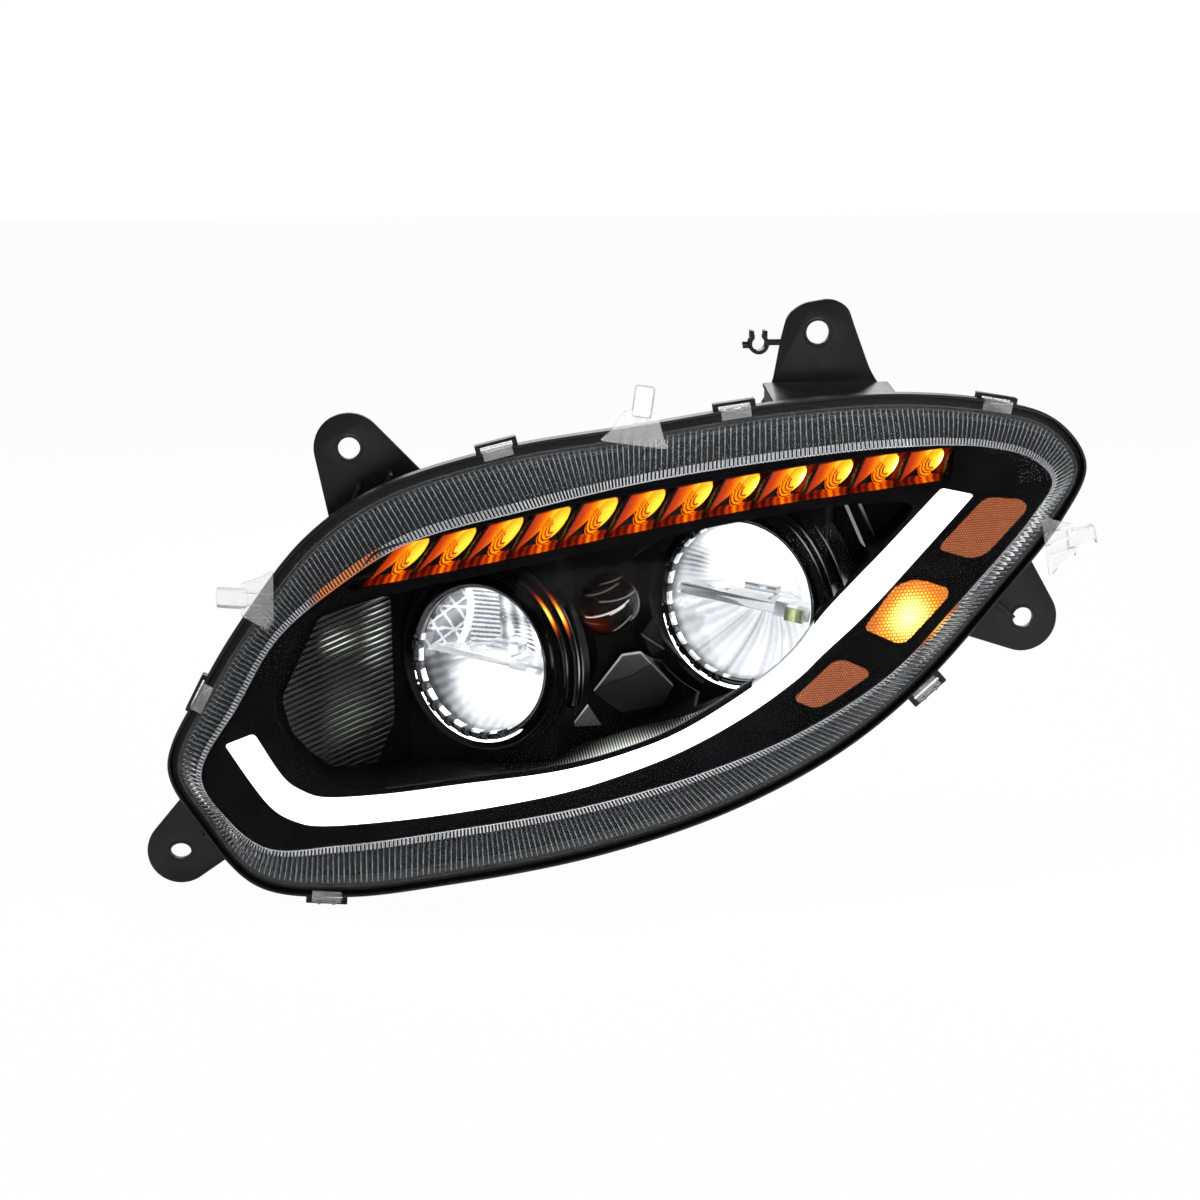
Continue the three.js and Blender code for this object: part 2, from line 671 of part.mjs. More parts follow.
// Castellated ring round a bowl's mouth.
function trimRing(bowl) {
  const outer = bowl.radius;
  const inside = outer - 5 + GAP;
  const profile = [
    [inside, -8], [inside + 1.5, -10], [outer - 1, -10], [outer, -8], [outer, 4], [inside, 4],
  ];
  const notches = Array.from({ length: RING_NOTCHES }, (_, i) => {
    const notch = box(5, 6, 13, 0, -9, inside + 0.2);
    return notch.rotate([0, (360 * i) / RING_NOTCHES, 0]);
  });
  const mouth = turned([[inside - 1, -0.6], [outer - 1, -0.6], [outer - 1, 6], [inside - 1, 6]]);
  return alongBeam(cut(turned(profile), ...notches, mouth), bowl);
}

// Bar across the bowl that holds the emitters, with a fin on top.
function ledBar(bowl) {
  const beam = join(box(2 * bowl.radius, 34, 7, 0, 24, 0), box(30, 10, 16, 0, 36, 0));
  return alongBeam(beam.intersect(bowlSpace(bowl)), bowl);
}

const ledBoard = (bowl) => beamRod(bowl, 22, BOWL_DEPTH + 3, BOWL_DEPTH + 5);

function heatSink(bowl) {
  const front = BOWL_DEPTH + 5 + GAP;
  const base = rod(SINK_RADIUS, front, front + 5, 0, 0, 28);
  const fins = Array.from({ length: 7 }, (_, i) => {
    const offset = (i - 3) * 7;
    const width = 2 * Math.sqrt(SINK_RADIUS ** 2 - (Math.abs(offset) + 1.2) ** 2) - 1;
    return box(2.2, 26, width, offset, front + 15, 0);
  });
  return alongBeam(join(base, ...fins), bowl);
}

// The space that one bowl and its heat sink take out of the carrier.
function carrierEnvelope(bowl) {
  const mouth = bowl.radius + 4;
  const wide = bowlCurve(bowl.radius - 5, BOWL_WALL + GAP * 1.5);
  const sink = SINK_RADIUS + GAP;
  const rear = BOWL_DEPTH + 46;
  const behind = [[sink, BOWL_DEPTH + 3], [sink, rear], [0, rear]];
  return alongBeam(turned([[0, -30], [mouth, -30], [mouth, 8], ...wide.reverse(), ...behind]), bowl);
}

const CARRIER = [
  [-152, 98], [-20, 94], [40, 104], [172, 98], [174, 0], [128, -42], [50, -66], [-40, -72], [-150, -70],
];
const CARRIER_FRONT = -13;
const CARRIER_BACK = -8;

// A socket block round a ball: open behind for the rod, with a spherical seat.
function socket(place, seat) {
  const block = rod(seat + 4, BALL_Y - seat - 2, BALL_Y + 5, place.x, place.z, 20);
  const throat = new THREE.CylinderGeometry(seat * 0.92, seat * 0.72, 16, 20);
  throat.translate(place.x, BALL_Y + 8, place.z);
  return { block, hollow: join(ball(seat, place.x, BALL_Y, place.z), toSolid(throat)) };
}

function carrier() {
  const plate = prism(CARRIER, CARRIER_FRONT, CARRIER_BACK);
  const seats = [socket(PIVOT, 11.5), socket(VERTICAL_AIM, BALL_SEAT), socket(HORIZONTAL_AIM, BALL_SEAT)];
  const body = join(plate, ...seats.map((seat) => seat.block));
  const hollows = seats.map((seat) => seat.hollow);
  return cut(body, carrierEnvelope(HIGH_BEAM), carrierEnvelope(LOW_BEAM), ...hollows);
}

// Nylon ball cup between the pivot ball and the carrier: it turns sideways with the carrier.
function pivotCup() {
  const cup = ball(10.8, PIVOT.x, BALL_Y, PIVOT.z);
  const mouth = new THREE.CylinderGeometry(9.5, 5.5, 12, 20);
  mouth.translate(PIVOT.x, BALL_Y + 7, PIVOT.z);
  return cut(cup, ball(BALL_RADIUS + 0.4, PIVOT.x, BALL_Y, PIVOT.z), toSolid(mouth));
}

function pivotBall() {
  const stem = rod(3, BALL_Y, 22, PIVOT.x, PIVOT.z, 16);
  const collar = rod(8, REAR_Y + GAP, 22, PIVOT.x, PIVOT.z, 6);
  const guide = rod(4.6, REAR_Y - 5, 22, PIVOT.x, PIVOT.z, 16);
  return join(ball(BALL_RADIUS, PIVOT.x, BALL_Y, PIVOT.z), stem, collar, guide);
}

// An aim adjuster: a bush in the rear wall, a knob that turns in it, and a ball stud through the knob.
const KNOB_NECK = 5.6;
const KNOB_TEETH = 12;
const STUD_RADIUS = 3;

function adjusterBush({ x, z }) {
  const body = join(rod(7.6, REAR_Y - 6, REAR_Y + 3, x, z), rod(12, REAR_Y + GAP, REAR_Y + 4, x, z));
  return cut(body, rod(KNOB_NECK + 0.3, 0, 40, x, z));
}

function adjusterKnob({ x, z }) {
  const front = REAR_Y + 4 + GAP;
  const teeth = Array.from({ length: KNOB_TEETH }, (_, i) => {
    const tooth = box(3, 8, 3, 0, front + 4, 13);
    return tooth.rotate([0, (360 * i) / KNOB_TEETH, 0]).translate([x, 0, z]);
  });
  const body = join(
    rod(KNOB_NECK, REAR_Y - 6, front + 1, x, z),
    rod(13, front, front + 8, x, z),
    rod(7, front + 7, front + 13, x, z, 6),
    ...teeth,
  );
  return cut(body, rod(STUD_RADIUS + 0.4, 0, front + 10, x, z, 20));
}

function ballStud({ x, z }) {
  return join(ball(BALL_RADIUS, x, BALL_Y, z), rod(STUD_RADIUS, BALL_Y, REAR_Y + 5, x, z, 16));
}

// ---------------------------------------------------------------- rear caps, driver, harness

function rearCap({ x, z, rear }) {
  const front = rear + GAP;
  const disc = turned([
    [0, front], [CAP_RADIUS, front], [CAP_RADIUS, front + 4], [CAP_RADIUS - 3, front + 8], [0, front + 8],
  ]);
  const spigot = rod(CAP_OPENING - 1, rear - 9, front + 2, 0, 0, 24);
  const grip = box(62, 14, 10, 0, front + 11, 0);
  const lugs = Array.from({ length: CAP_LUGS }, (_, i) => {
    const turn = (360 * (i + 0.5)) / CAP_LUGS;
    return box(8, 6, 6, 0, front + 3, CAP_RADIUS).rotate([0, turn, 0]);
  });
  const hollow = rod(CAP_OPENING - 4, rear - 20, front + 4, 0, 0, 24);
  const groove = rod(CAP_OPENING, rear - 6.4, rear - 2.6, 0, 0, 24);
  const sealSeat = cut(groove, rod(CAP_OPENING - 2.4, rear - 8, rear, 0, 0, 24));
  return cut(join(disc, spigot, grip, ...lugs), hollow, sealSeat).translate([x, 0, z]);
}

function capSeal({ x, z, rear }) {
  const [inside, outside] = [CAP_OPENING - 2, CAP_OPENING - GAP];
  const profile = [[inside, rear - 6], [outside, rear - 6], [outside, rear - 3], [inside, rear - 3]];
  return turned(profile).translate([x, 0, z]);
}

const DRIVER = { x: -245, z: -118, width: 96, height: 58, turn: -14 };
const DRIVER_FINS = 8;

const onDriver = (solid) => solid.rotate([0, DRIVER.turn, 0]).translate([DRIVER.x, 0, DRIVER.z]);
const driverCorners = [[-1, -1], [1, -1], [1, 1], [-1, 1]].map(([a, b]) => [
  a * (DRIVER.width / 2 - 6),
  b * (DRIVER.height / 2 - 6),
]);

function ledDriver() {
  const front = REAR_Y + GAP;
  const base = box(DRIVER.width, 5, DRIVER.height, 0, front + 2.5, 0);
  const body = box(DRIVER.width - 26, 14, DRIVER.height, 0, front + 9, 0);
  const fins = Array.from({ length: DRIVER_FINS }, (_, i) => {
    const z = (i - (DRIVER_FINS - 1) / 2) * 7;
    return box(DRIVER.width - 30, 12, 2.4, 0, front + 21, z);
  });
  const holes = driverCorners.map(([x, z]) => rod(2.6, 0, front + 8, x, z, 12));
  return onDriver(cut(join(base, body, ...fins), ...holes));
}

function driverScrew([x, z]) {
  const seat = REAR_Y + GAP + 5 + GAP;
  const cross = [box(1.4, 3, 6, x, seat + 3, z), box(6, 3, 1.4, x, seat + 3, z)];
  const head = cut(rod(4.6, seat, seat + 3, x, z, 16), ...cross);
  return onDriver(join(head, rod(2.1, REAR_Y + GAP, seat + 1, x, z, 12)));
}

function breather({ x, z }) {
  const stem = rod(4.6, REAR_Y - 3, REAR_Y + 6, x, z, 16);
  const cap = rod(9, REAR_Y + GAP, REAR_Y + 9, x, z, 20);
  return join(stem, cap);
}

function grommet() {
  const { x, z } = GROMMET;
  const neck = rod(9.6, REAR_Y - 4, REAR_Y + 3, x, z);
  const boot = turned([
    [0, REAR_Y + GAP], [15, REAR_Y + GAP], [15, REAR_Y + 4], [10, REAR_Y + 7], [8, REAR_Y + 18], [0, REAR_Y + 18],
  ]);
  return cut(join(neck, boot.translate([x, 0, z])), rod(5.6, 0, 60, x, z, 20));
}

const CONNECTOR = { x: 226, y: 34, z: -12 };

function harness() {
  const { x, z } = GROMMET;
  const path = new THREE.CatmullRomCurve3([
    new THREE.Vector3(x, REAR_Y - 3, z),
    new THREE.Vector3(x, REAR_Y + 9, z),
    new THREE.Vector3(x, REAR_Y + 21, z),
    new THREE.Vector3(x + 2, REAR_Y + 36, z - 14),
    new THREE.Vector3(x + 6, REAR_Y + 34, z - 44),
    new THREE.Vector3(CONNECTOR.x + 2, CONNECTOR.y, CONNECTOR.z + 34),
    new THREE.Vector3(CONNECTOR.x, CONNECTOR.y, CONNECTOR.z + 16),
  ]);
  const circle = new THREE.Shape().absarc(0, 0, 4.6, 0, 2 * Math.PI, false);
  return toSolid(new THREE.ExtrudeGeometry(circle, { steps: 22, extrudePath: path, curveSegments: 4 }));
}

function connector() {
  const { x, y, z } = CONNECTOR;
  const body = box(38, 24, 30, x, y, z - 1);
  const lock = box(44, 4, 8, x, y, z - 10);
  const latch = box(12, 5, 18, x, y + 13, z);
  const mouth = box(32, 18, 18, x, y, z - 14);
  const cableEntry = box(11.2, 11.2, 6, x, y, z + 16);
  return cut(join(body, lock, latch), mouth, cableEntry);
}

// ---------------------------------------------------------------- fasteners inside the lamp

// Posts on the back of the bezel reach to the housing's rear wall, and a screw from behind holds each one.
function bezelScrew({ x, z }) {
  const cross = [box(2, 4, 7, x, REAR_Y + 4, z), box(7, 4, 2, x, REAR_Y + 4, z)];
  const head = cut(rod(5.5, REAR_Y + GAP, REAR_Y + 4, x, z), ...cross);
  return join(head, rod(2, REAR_Y - 12, REAR_Y + 1, x, z, 12));
}

function guideBoard(x, z, turn) {
  return box(20, 1.6, 13, 0, 0, 0).rotate([0, turn, 0]).translate([x, FLANGE_Y + wrap(x) - 5, z]);
}

// ---------------------------------------------------------------- the assembly

const BLACK = 0x0b0b0c;
const AMBER = 0xe87a10;
const CHROME = 0xd8dadc;
const STEEL = 0x9a9da0;
const BOARD = 0x1d5b34;

const assembly = new THREE.Group();

assembly.add(
  mesh("housing", housing(), BLACK, 0.55),
  mesh("lens", lens(), 0xe8ecee, 0.05),
  mesh("lens_seal", lensSeal(), 0x151515, 0.9),
  mesh("bezel", bezel(), 0x0d0d0e, 0.35),
  mesh("fluted_panel", flutedPanel(), 0x161617, 0.25),
  mesh("centre_lamp_lens", centreLampLens(), 0x2a2220, 0.1),
  mesh("centre_lamp_bulb", centreLampBulb(), 0x8a4a12, 0.3),
  mesh("drl_light_guide", lightGuide(), 0xffffff, 0.2),
  mesh("drl_reflector_tray", guideTray(), 0xf0f0f0, 0.5),
  mesh("drl_led_board_inboard", guideBoard(-308, -88, 56), BOARD, 0.6),
  mesh("drl_led_board_outboard", guideBoard(256, 114, -46), BOARD, 0.6),
  mesh("turn_signal_reflector", turnSignalReflector(), 0x2a2a2c, 0.2, 0.6),
  mesh("turn_signal_led_board", turnSignalBoard(), 0x1a1a1a, 0.6),
  mesh("side_marker_lens", markerLens(), AMBER, 0.2),
  mesh("side_marker_housing", markerHousing(), BLACK, 0.5),
  mesh("side_marker_led_board", markerBoard(), BOARD, 0.6),
  mesh("reflex_reflector_upper", reflex(UPPER_REFLEX), 0xa8501c, 0.3),
  mesh("reflex_reflector_lower", reflex(LOWER_REFLEX), 0xa8501c, 0.3),
);

for (const [name, bowl] of [["high_beam", HIGH_BEAM], ["low_beam", LOW_BEAM]]) {
  assembly.add(
    mesh(name + "_reflector", reflector(bowl), CHROME, 0.08, 1),
    mesh(name + "_trim_ring", trimRing(bowl), CHROME, 0.15, 1),
    mesh(name + "_led_bar", ledBar(bowl), CHROME, 0.2, 0.9),
    mesh(name + "_led_board", ledBoard(bowl), BOARD, 0.6),
    mesh(name + "_heat_sink", heatSink(bowl), 0x7d8084, 0.4, 0.9),
  );
}

assembly.add(
  mesh("reflector_carrier", carrier(), 0x2b2c2e, 0.6),
  mesh("pivot_cup", pivotCup(), 0xe6e2d6, 0.5),
  mesh("pivot_ball_stud", pivotBall(), STEEL, 0.35, 0.9),
);

for (const [name, place] of [["vertical_aim", VERTICAL_AIM], ["horizontal_aim", HORIZONTAL_AIM]]) {
  assembly.add(
    mesh(name + "_bush", adjusterBush(place), 0x202021, 0.6),
    mesh(name + "_knob", adjusterKnob(place), 0xece9df, 0.5),
    mesh(name + "_ball_stud", ballStud(place), STEEL, 0.35, 0.9),
  );
}

for (const [name, place] of [["high_beam", HIGH_POD], ["low_beam", LOW_POD]]) {
  assembly.add(
    mesh(name + "_rear_cap", rearCap(place), BLACK, 0.6),
    mesh(name + "_cap_seal", capSeal(place), 0x3a1512, 0.8),
  );
}

assembly.add(mesh("led_driver", ledDriver(), 0x8b8e92, 0.45, 0.9));
driverCorners.forEach((corner, i) => {
  assembly.add(mesh("driver_screw_" + (i + 1), driverScrew(corner), STEEL, 0.3, 0.9));
});
BREATHERS.forEach((place, i) => {
  assembly.add(mesh("breather_" + (i + 1), breather(place), 0x141414, 0.7));
});
assembly.add(
  mesh("harness_grommet", grommet(), 0x111111, 0.9),
  mesh("wire_harness", harness(), 0x101010, 0.85),
  mesh("harness_connector", connector(), 0x232325, 0.5),
);
BEZEL_SCREWS.forEach((place, i) => {
  assembly.add(mesh("bezel_screw_" + (i + 1), bezelScrew(place), STEEL, 0.3, 0.9));
});

assembly.position.set(...TOP_TAB_FACE.map((value) => -value));

export default assembly;
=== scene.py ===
"""Looks for the swept composite headlight: fine shells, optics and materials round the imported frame."""
import json
import math

import bmesh
import bpy
import numpy as np
from mathutils import Matrix, Vector

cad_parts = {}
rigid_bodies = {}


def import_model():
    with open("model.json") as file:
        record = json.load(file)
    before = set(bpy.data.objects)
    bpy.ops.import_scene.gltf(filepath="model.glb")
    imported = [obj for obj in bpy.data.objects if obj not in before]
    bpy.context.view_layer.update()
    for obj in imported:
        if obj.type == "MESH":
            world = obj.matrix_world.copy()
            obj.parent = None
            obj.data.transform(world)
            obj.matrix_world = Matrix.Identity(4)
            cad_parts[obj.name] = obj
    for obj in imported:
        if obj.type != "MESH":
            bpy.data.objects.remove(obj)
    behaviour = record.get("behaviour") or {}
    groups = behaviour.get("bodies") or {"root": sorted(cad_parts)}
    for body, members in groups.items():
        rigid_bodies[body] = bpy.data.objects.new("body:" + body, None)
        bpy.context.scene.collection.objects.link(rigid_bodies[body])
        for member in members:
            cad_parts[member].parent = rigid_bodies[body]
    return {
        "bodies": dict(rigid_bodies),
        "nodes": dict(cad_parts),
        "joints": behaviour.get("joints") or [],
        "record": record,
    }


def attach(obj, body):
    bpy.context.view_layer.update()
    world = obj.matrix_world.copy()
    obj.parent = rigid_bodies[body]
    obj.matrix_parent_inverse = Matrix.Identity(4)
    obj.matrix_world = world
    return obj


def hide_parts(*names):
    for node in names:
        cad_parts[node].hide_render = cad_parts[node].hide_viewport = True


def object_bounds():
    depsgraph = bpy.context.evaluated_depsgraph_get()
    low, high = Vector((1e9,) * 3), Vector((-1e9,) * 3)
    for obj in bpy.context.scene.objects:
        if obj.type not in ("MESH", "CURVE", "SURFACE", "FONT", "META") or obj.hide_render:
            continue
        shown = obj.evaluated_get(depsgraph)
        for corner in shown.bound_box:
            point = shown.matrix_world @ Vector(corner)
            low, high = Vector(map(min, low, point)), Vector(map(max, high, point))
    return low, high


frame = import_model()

CAD_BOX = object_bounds()
MM = 0.001

# ---------------------------------------------------------------- driving dimensions, in millimetres
#
# Shapes are drawn about a point behind the middle of the lens, with the tabs' rear faces on y = 0, and
# TO_ROW_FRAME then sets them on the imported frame, whose origin is on the top tab. Outlines are (x, z).

FLANGE_Y = -90.0  # the lens flange at x = 0, which wraps back towards both ends
WRAP_RADIUS = 1000.0
FACE_RISE = 31.0  # how far the edge of the lens face stands in front of the flange
FACE_DOME = 10.0
LENS_WALL = 3.0
SHELL_WALL = 2.5
SKIN_DEPTH = -24.0  # the bezel's skin, from the flange
SKIN_WALL = 2.5
REAR_Y = 15.0
TAB_THICK = 5.0
TO_ROW_FRAME = Matrix.Translation((-0.161, 0, -0.225))
BEAM_TURN = math.radians(-35)
BOWL_DEPTH = 50.0
FLUTES = 400
STEPS_PER_FLUTE = 6

RIM = [
    (-379, -110), (-349, -41), (-310, 24), (-260, 89), (-203, 131), (-105, 165), (8, 184),
    (120, 200), (219, 204), (306, 193), (361, 173), (387, 135), (366, 91), (310, 28),
    (247, -37), (178, -89), (85, -135), (-24, -170), (-148, -196), (-237, -210), (-307, -205), (-353, -158),
]
FACE = [
    (-351, -108), (-318, -44), (-284, 14), (-235, 58), (-178, 95), (-83, 123), (5, 144),
    (116, 160), (219, 167), (291, 163), (334, 149), (351, 129), (337, 104), (275, 38),
    (215, -21), (141, -65), (54, -98), (-42, -124), (-147, -144), (-236, -160), (-297, -166), (-332, -141),
]
GUIDE_INNER = [
    (-304, -69), (-281, -104), (-264, -115), (-246, -119), (-198, -114), (-137, -104), (-62, -93),
    (-11, -80), (41, -60), (102, -23), (133, 3), (156, 33), (203, 80), (252, 129),
]
GUIDE_OUTER = [
    (-328, -80), (-306, -112), (-290, -131), (-273, -140), (-251, -143), (-199, -137), (-137, -127),
    (-62, -112), (-11, -97), (41, -77), (92, -50), (133, -22), (156, -1), (191, 30), (232, 72), (280, 122),
]
STRIP_UPPER = [(-203, 83), (-177, 93), (-103, 111), (-22, 129), (105, 148), (184, 157), (262, 162)]
STRIP_LOWER = [(-226, 54), (-184, 62), (-83, 84), (18, 105), (105, 120), (185, 129), (258, 136)]
CELL_COUNT = 12
RECESS = [
    (-248, 34), (-286, -40), (-279, -70), (-262, -93), (-243, -108), (-198, -110), (-137, -100), (-62, -89),
    (-11, -76), (40, -56), (99, -20), (129, 6), (152, 36), (199, 82), (227, 116), (185, 120),
    (105, 112), (18, 97), (-83, 76), (-184, 53),
]
RECESS_FLOOR = [
    (-310, -75), (-176, -14), (-60, -97), (-44, -60), (8, -46), (31, -27), (156, -97), (172, -48), (250, -58),
]
SIDE_MARKER = [
    (224, 55), (236, 55), (259, 47), (260, 40), (225, 5), (217, 4), (190, 17), (191, 21), (213, 50),
]
UPPER_REFLEX = [(290, 120), (321, 116), (327, 111), (325, 105), (292, 73), (279, 70), (252, 79), (253, 84)]
LOWER_REFLEX = [(163, -8), (173, -7), (193, -17), (193, -22), (160, -42), (149, -46), (133, -39), (133, -35)]
FLUTED_PANEL = [
    (-250, 24), (-281, -40), (-274, -68), (-258, -89), (-241, -103), (-205, -105), (-190, -70), (-192, 36),
]
HIGH_BEAM = {"x": -116.0, "y": -58.0, "z": -11.5, "radius": 65.0}
LOW_BEAM = {"x": 97.0, "y": -36.0, "z": 29.5, "radius": 71.0}
CENTRE_LAMP = {"x": -14.0, "y": -44.0, "z": 32.0, "radius": 24.0}

# Holes are (x, z, radius, squash); snaps, gate tabs and stiffeners are (x, z, turn in degrees).
TAB_HOLES = [(161, 247, 9.5, 1.0), (-224, 155, 9.0, 1.0), (-371, -185, 8.5, 0.78), (339, 5, 8.5, 1.0)]
SNAPS = [
    (-105, 163, -14), (84, 193, -8), (303, 190, 10), (-347, -47, -63), (-248, -209, 184), (247, -41, 138),
]
GATE_TABS = [(3, 171, -8), (-288, 36, 90), (352, 72, -80)]
TAB_MARKS = [(158, 222), (-203, 131), (-345, -160), (316, 17)]
SNAP_WIDTH = 26.0
HIGH_POD = {"x": -72.0, "z": -11.0, "radius": 52.0, "rear": 44.0}
LOW_POD = {"x": 119.0, "z": 30.0, "radius": 65.0, "rear": 64.0}
CAP_OPENING = 38.0
CAP_RADIUS = 46.0
PIVOT = (28, 82)
VERTICAL_AIM = (28, -50)
HORIZONTAL_AIM = (-132, 82)
BREATHERS = [(40, 132), (-180, -60)]
GROMMET = (232, 78)
BEZEL_SCREWS = [(-236, 8), (-226, -72), (190, 93)]
DRIVER = {"x": -245.0, "z": -118.0, "width": 96.0, "height": 58.0, "turn": -14.0}
CONNECTOR = (226, 34, -12)
STIFFENERS = [
    (-190, 58, 30), (-240, -60, -20), (200, -20, -10), (230, 120, 40), (-10, 130, 25), (-40, -120, 12),
]
REAR_HOLES = [(*VERTICAL_AIM, 8), (*HORIZONTAL_AIM, 8), (*PIVOT, 5), (*GROMMET, 10)]
REAR_HOLES += [(*place, 5) for place in BREATHERS] + [(*place, 2.5) for place in BEZEL_SCREWS]

# ---------------------------------------------------------------- meshes


def new_object(name, verts, faces):
    """A mesh object from millimetre points, facing outwards, linked to the scene."""
    mesh = bpy.data.meshes.new(name)
    mesh.from_pydata((np.asarray(verts, float) * MM).tolist(), [], faces)
    mesh.validate()
    made = bpy.data.objects.new(name, mesh)
    bpy.context.scene.collection.objects.link(made)
    work = bmesh.new()
    work.from_mesh(mesh)
    if work.calc_volume(signed=True) < 0:
        bmesh.ops.reverse_faces(work, faces=work.faces)
    work.to_mesh(mesh)
    work.free()
    return made


def boolean(target, tool, operation):
    """Changes target by tool, and uses the tool up."""
    change = target.modifiers.new("boolean", "BOOLEAN")
    change.operation = operation
    change.object = tool
    change.solver = "MANIFOLD"
    graph = bpy.context.evaluated_depsgraph_get()
    mesh = bpy.data.meshes.new_from_object(target.evaluated_get(graph))
    target.modifiers.clear()
    old = target.data
    target.data = mesh
    bpy.data.meshes.remove(old)
    bpy.data.objects.remove(tool)
    return target


def cut(target, *tools):
    for tool in tools:
        boolean(target, tool, "DIFFERENCE")
    return target


def join(target, *others):
    for other in others:
        boolean(target, other, "UNION")
    return target


def meet(target, tool):
    return boolean(target, tool, "INTERSECT")


def move(made, x=0.0, y=0.0, z=0.0, turn=0.0, about="Y"):
    """Turns a mesh about an axis through the origin by degrees, then shifts it by millimetres."""
    shift = Matrix.Translation(Vector((x, y, z)) * MM)
    made.data.transform(shift @ Matrix.Rotation(math.radians(turn), 4, about))
    return made


def along_beam(made, bowl):
    return move(made, bowl["x"], bowl["y"], bowl["z"], math.degrees(BEAM_TURN), "Z")


def extruded(name, flat, low, high, place):
    """A prism: flat is a closed outline, and place turns (a, b, c) into a point."""
    count = len(flat)
    verts = [place(a, b, low) for a, b in flat] + [place(a, b, high) for a, b in flat]
    sides = [(i, (i + 1) % count, count + (i + 1) % count, count + i) for i in range(count)]
    faces = [tuple(range(count))[::-1], tuple(range(count, 2 * count))] + sides
    return new_object(name, verts, faces)


def prism(outline, front, back, name="prism"):
    return extruded(name, outline, front, back, lambda a, b, c: (a, c, b))


def tower(outline, low, high, name="tower"):
    return extruded(name, outline, low, high, lambda a, b, c: (a, b, c))


def bar(outline, left, right, name="bar"):
    return extruded(name, outline, left, right, lambda a, b, c: (c, a, b))


def box(width, depth, height, x=0.0, y=0.0, z=0.0, bevel=0.0):
    a, b = width / 2, height / 2
    made = prism([(-a, -b), (a, -b), (a, b), (-a, b)], -depth / 2, depth / 2, "box")
    if bevel:
        soften(made, bevel)
    return move(made, x, y, z)


def soften(made, width, segments=2, angle=35):
    """Rounds the edges sharper than an angle by a width in millimetres."""
    work = bmesh.new()
    work.from_mesh(made.data)
    limit = math.radians(angle)
    edges = [e for e in work.edges if len(e.link_faces) == 2 and e.calc_face_angle() > limit]
    shape = dict(segments=segments, profile=0.5, affect="EDGES", clamp_overlap=True)
    bmesh.ops.bevel(work, geom=edges, offset=width * MM, **shape)
    work.to_mesh(made.data)
    work.free()
    return made


def subdivide(made, parts):
    """Splits the longest edges of a bar into parts, so that it can hold painted detail."""
    work = bmesh.new()
    work.from_mesh(made.data)
    longest = max(e.calc_length() for e in work.edges)
    long_edges = [e for e in work.edges if e.calc_length() > 0.9 * longest]
    bmesh.ops.subdivide_edges(work, edges=long_edges, cuts=parts - 1, use_grid_fill=True)
    work.to_mesh(made.data)
    work.free()
    return made


def turned(profile, sides=96, name="turned"):
    """A profile of (radius, distance along Y) turned about Y. One clear of the axis closes on itself."""
    closed = profile[0][0] > 0
    verts, index = [], []
    for radius, along in profile:
        if radius <= 0:
            index.append([len(verts)] * sides)
            verts.append((0.0, along, 0.0))
            continue
        index.append(list(range(len(verts), len(verts) + sides)))
        angles = [2 * math.pi * i / sides for i in range(sides)]
        verts += [(radius * math.sin(a), along, radius * math.cos(a)) for a in angles]
    rows = list(zip(index, index[1:] + index[:1])) if closed else list(zip(index, index[1:]))
    faces = []
    for here, after in rows:
        for i in range(sides):
            j = (i + 1) % sides
            corners = [here[i], here[j], after[j], after[i]]
            distinct = list(dict.fromkeys(corners))
            if len(distinct) > 2:
                faces.append(tuple(distinct))
    return new_object(name, verts, faces)


def rod(radius, front, back, x=0.0, z=0.0, sides=48):
    return move(turned([(0, front), (radius, front), (radius, back), (0, back)], sides), x, 0, z)


def swept(name, sections):
    """A solid through a run of sections, each a closed loop of as many points, with flat ends."""
    size, last = len(sections[0]), len(sections[0]) * (len(sections) - 1)
    faces = []
    for here in range(0, last, size):
        after = here + size
        faces += [(here + k, here + (k + 1) % size, after + (k + 1) % size, after + k) for k in range(size)]
    faces += [tuple(range(size))[::-1], tuple(last + k for k in range(size))]
    return new_object(name, np.array(sections).reshape(-1, 3), faces)


def slab_between(name, face, rear):
    """A closed slab from two grids of places, each of columns by rows."""
    columns, rows = face.shape[:2]
    total = columns * rows
    faces = []
    for i in range(columns - 1):
        for j in range(rows - 1):
            a = i * rows + j
            quad = (a, a + rows, a + rows + 1, a + 1)
            faces += [quad, tuple(total + q for q in quad[::-1])]
    edge = [i * rows for i in range(columns)] + [(columns - 1) * rows + j for j in range(1, rows)]
    edge += [i * rows + rows - 1 for i in range(columns - 2, -1, -1)] + list(range(rows - 2, 0, -1))
    faces += [(b, a, total + a, total + b) for a, b in zip(edge, edge[1:] + edge[:1])]
    return new_object(name, np.vstack([face.reshape(-1, 3), rear.reshape(-1, 3)]), faces)


def step_up(value, low, high):
    """Rises smoothly from 0 at low to 1 at high."""
    t = np.clip((value - low) / (high - low), 0, 1)
    return t * t * (3 - 2 * t)


# ---------------------------------------------------------------- the wrapped outline


def closed_curve(points, where):
    """A centripetal Catmull-Rom curve through closed points, at shares of its whole."""
    p = np.array(points, float)
    count = len(p)
    t = np.asarray(where) * count
    i = np.floor(t).astype(int)
    w = (t - i)[:, None]
    before, here, there, after = (p[(i + k) % count] for k in (-1, 0, 1, 2))

    def gap(a, b):
        return np.sum((a - b) ** 2, axis=1)[:, None] ** 0.25

    d0, d1, d2 = gap(before, here), gap(here, there), gap(there, after)
    start = ((here - before) / d0 - (there - before) / (d0 + d1) + (there - here) / d1) * d1
    end = ((there - here) / d1 - (after - here) / (d1 + d2) + (after - there) / d2) * d1
    square = -3 * here + 3 * there - 2 * start - end
    cube = 2 * here - 2 * there + start + end
    return here + start * w + square * w**2 + cube * w**3


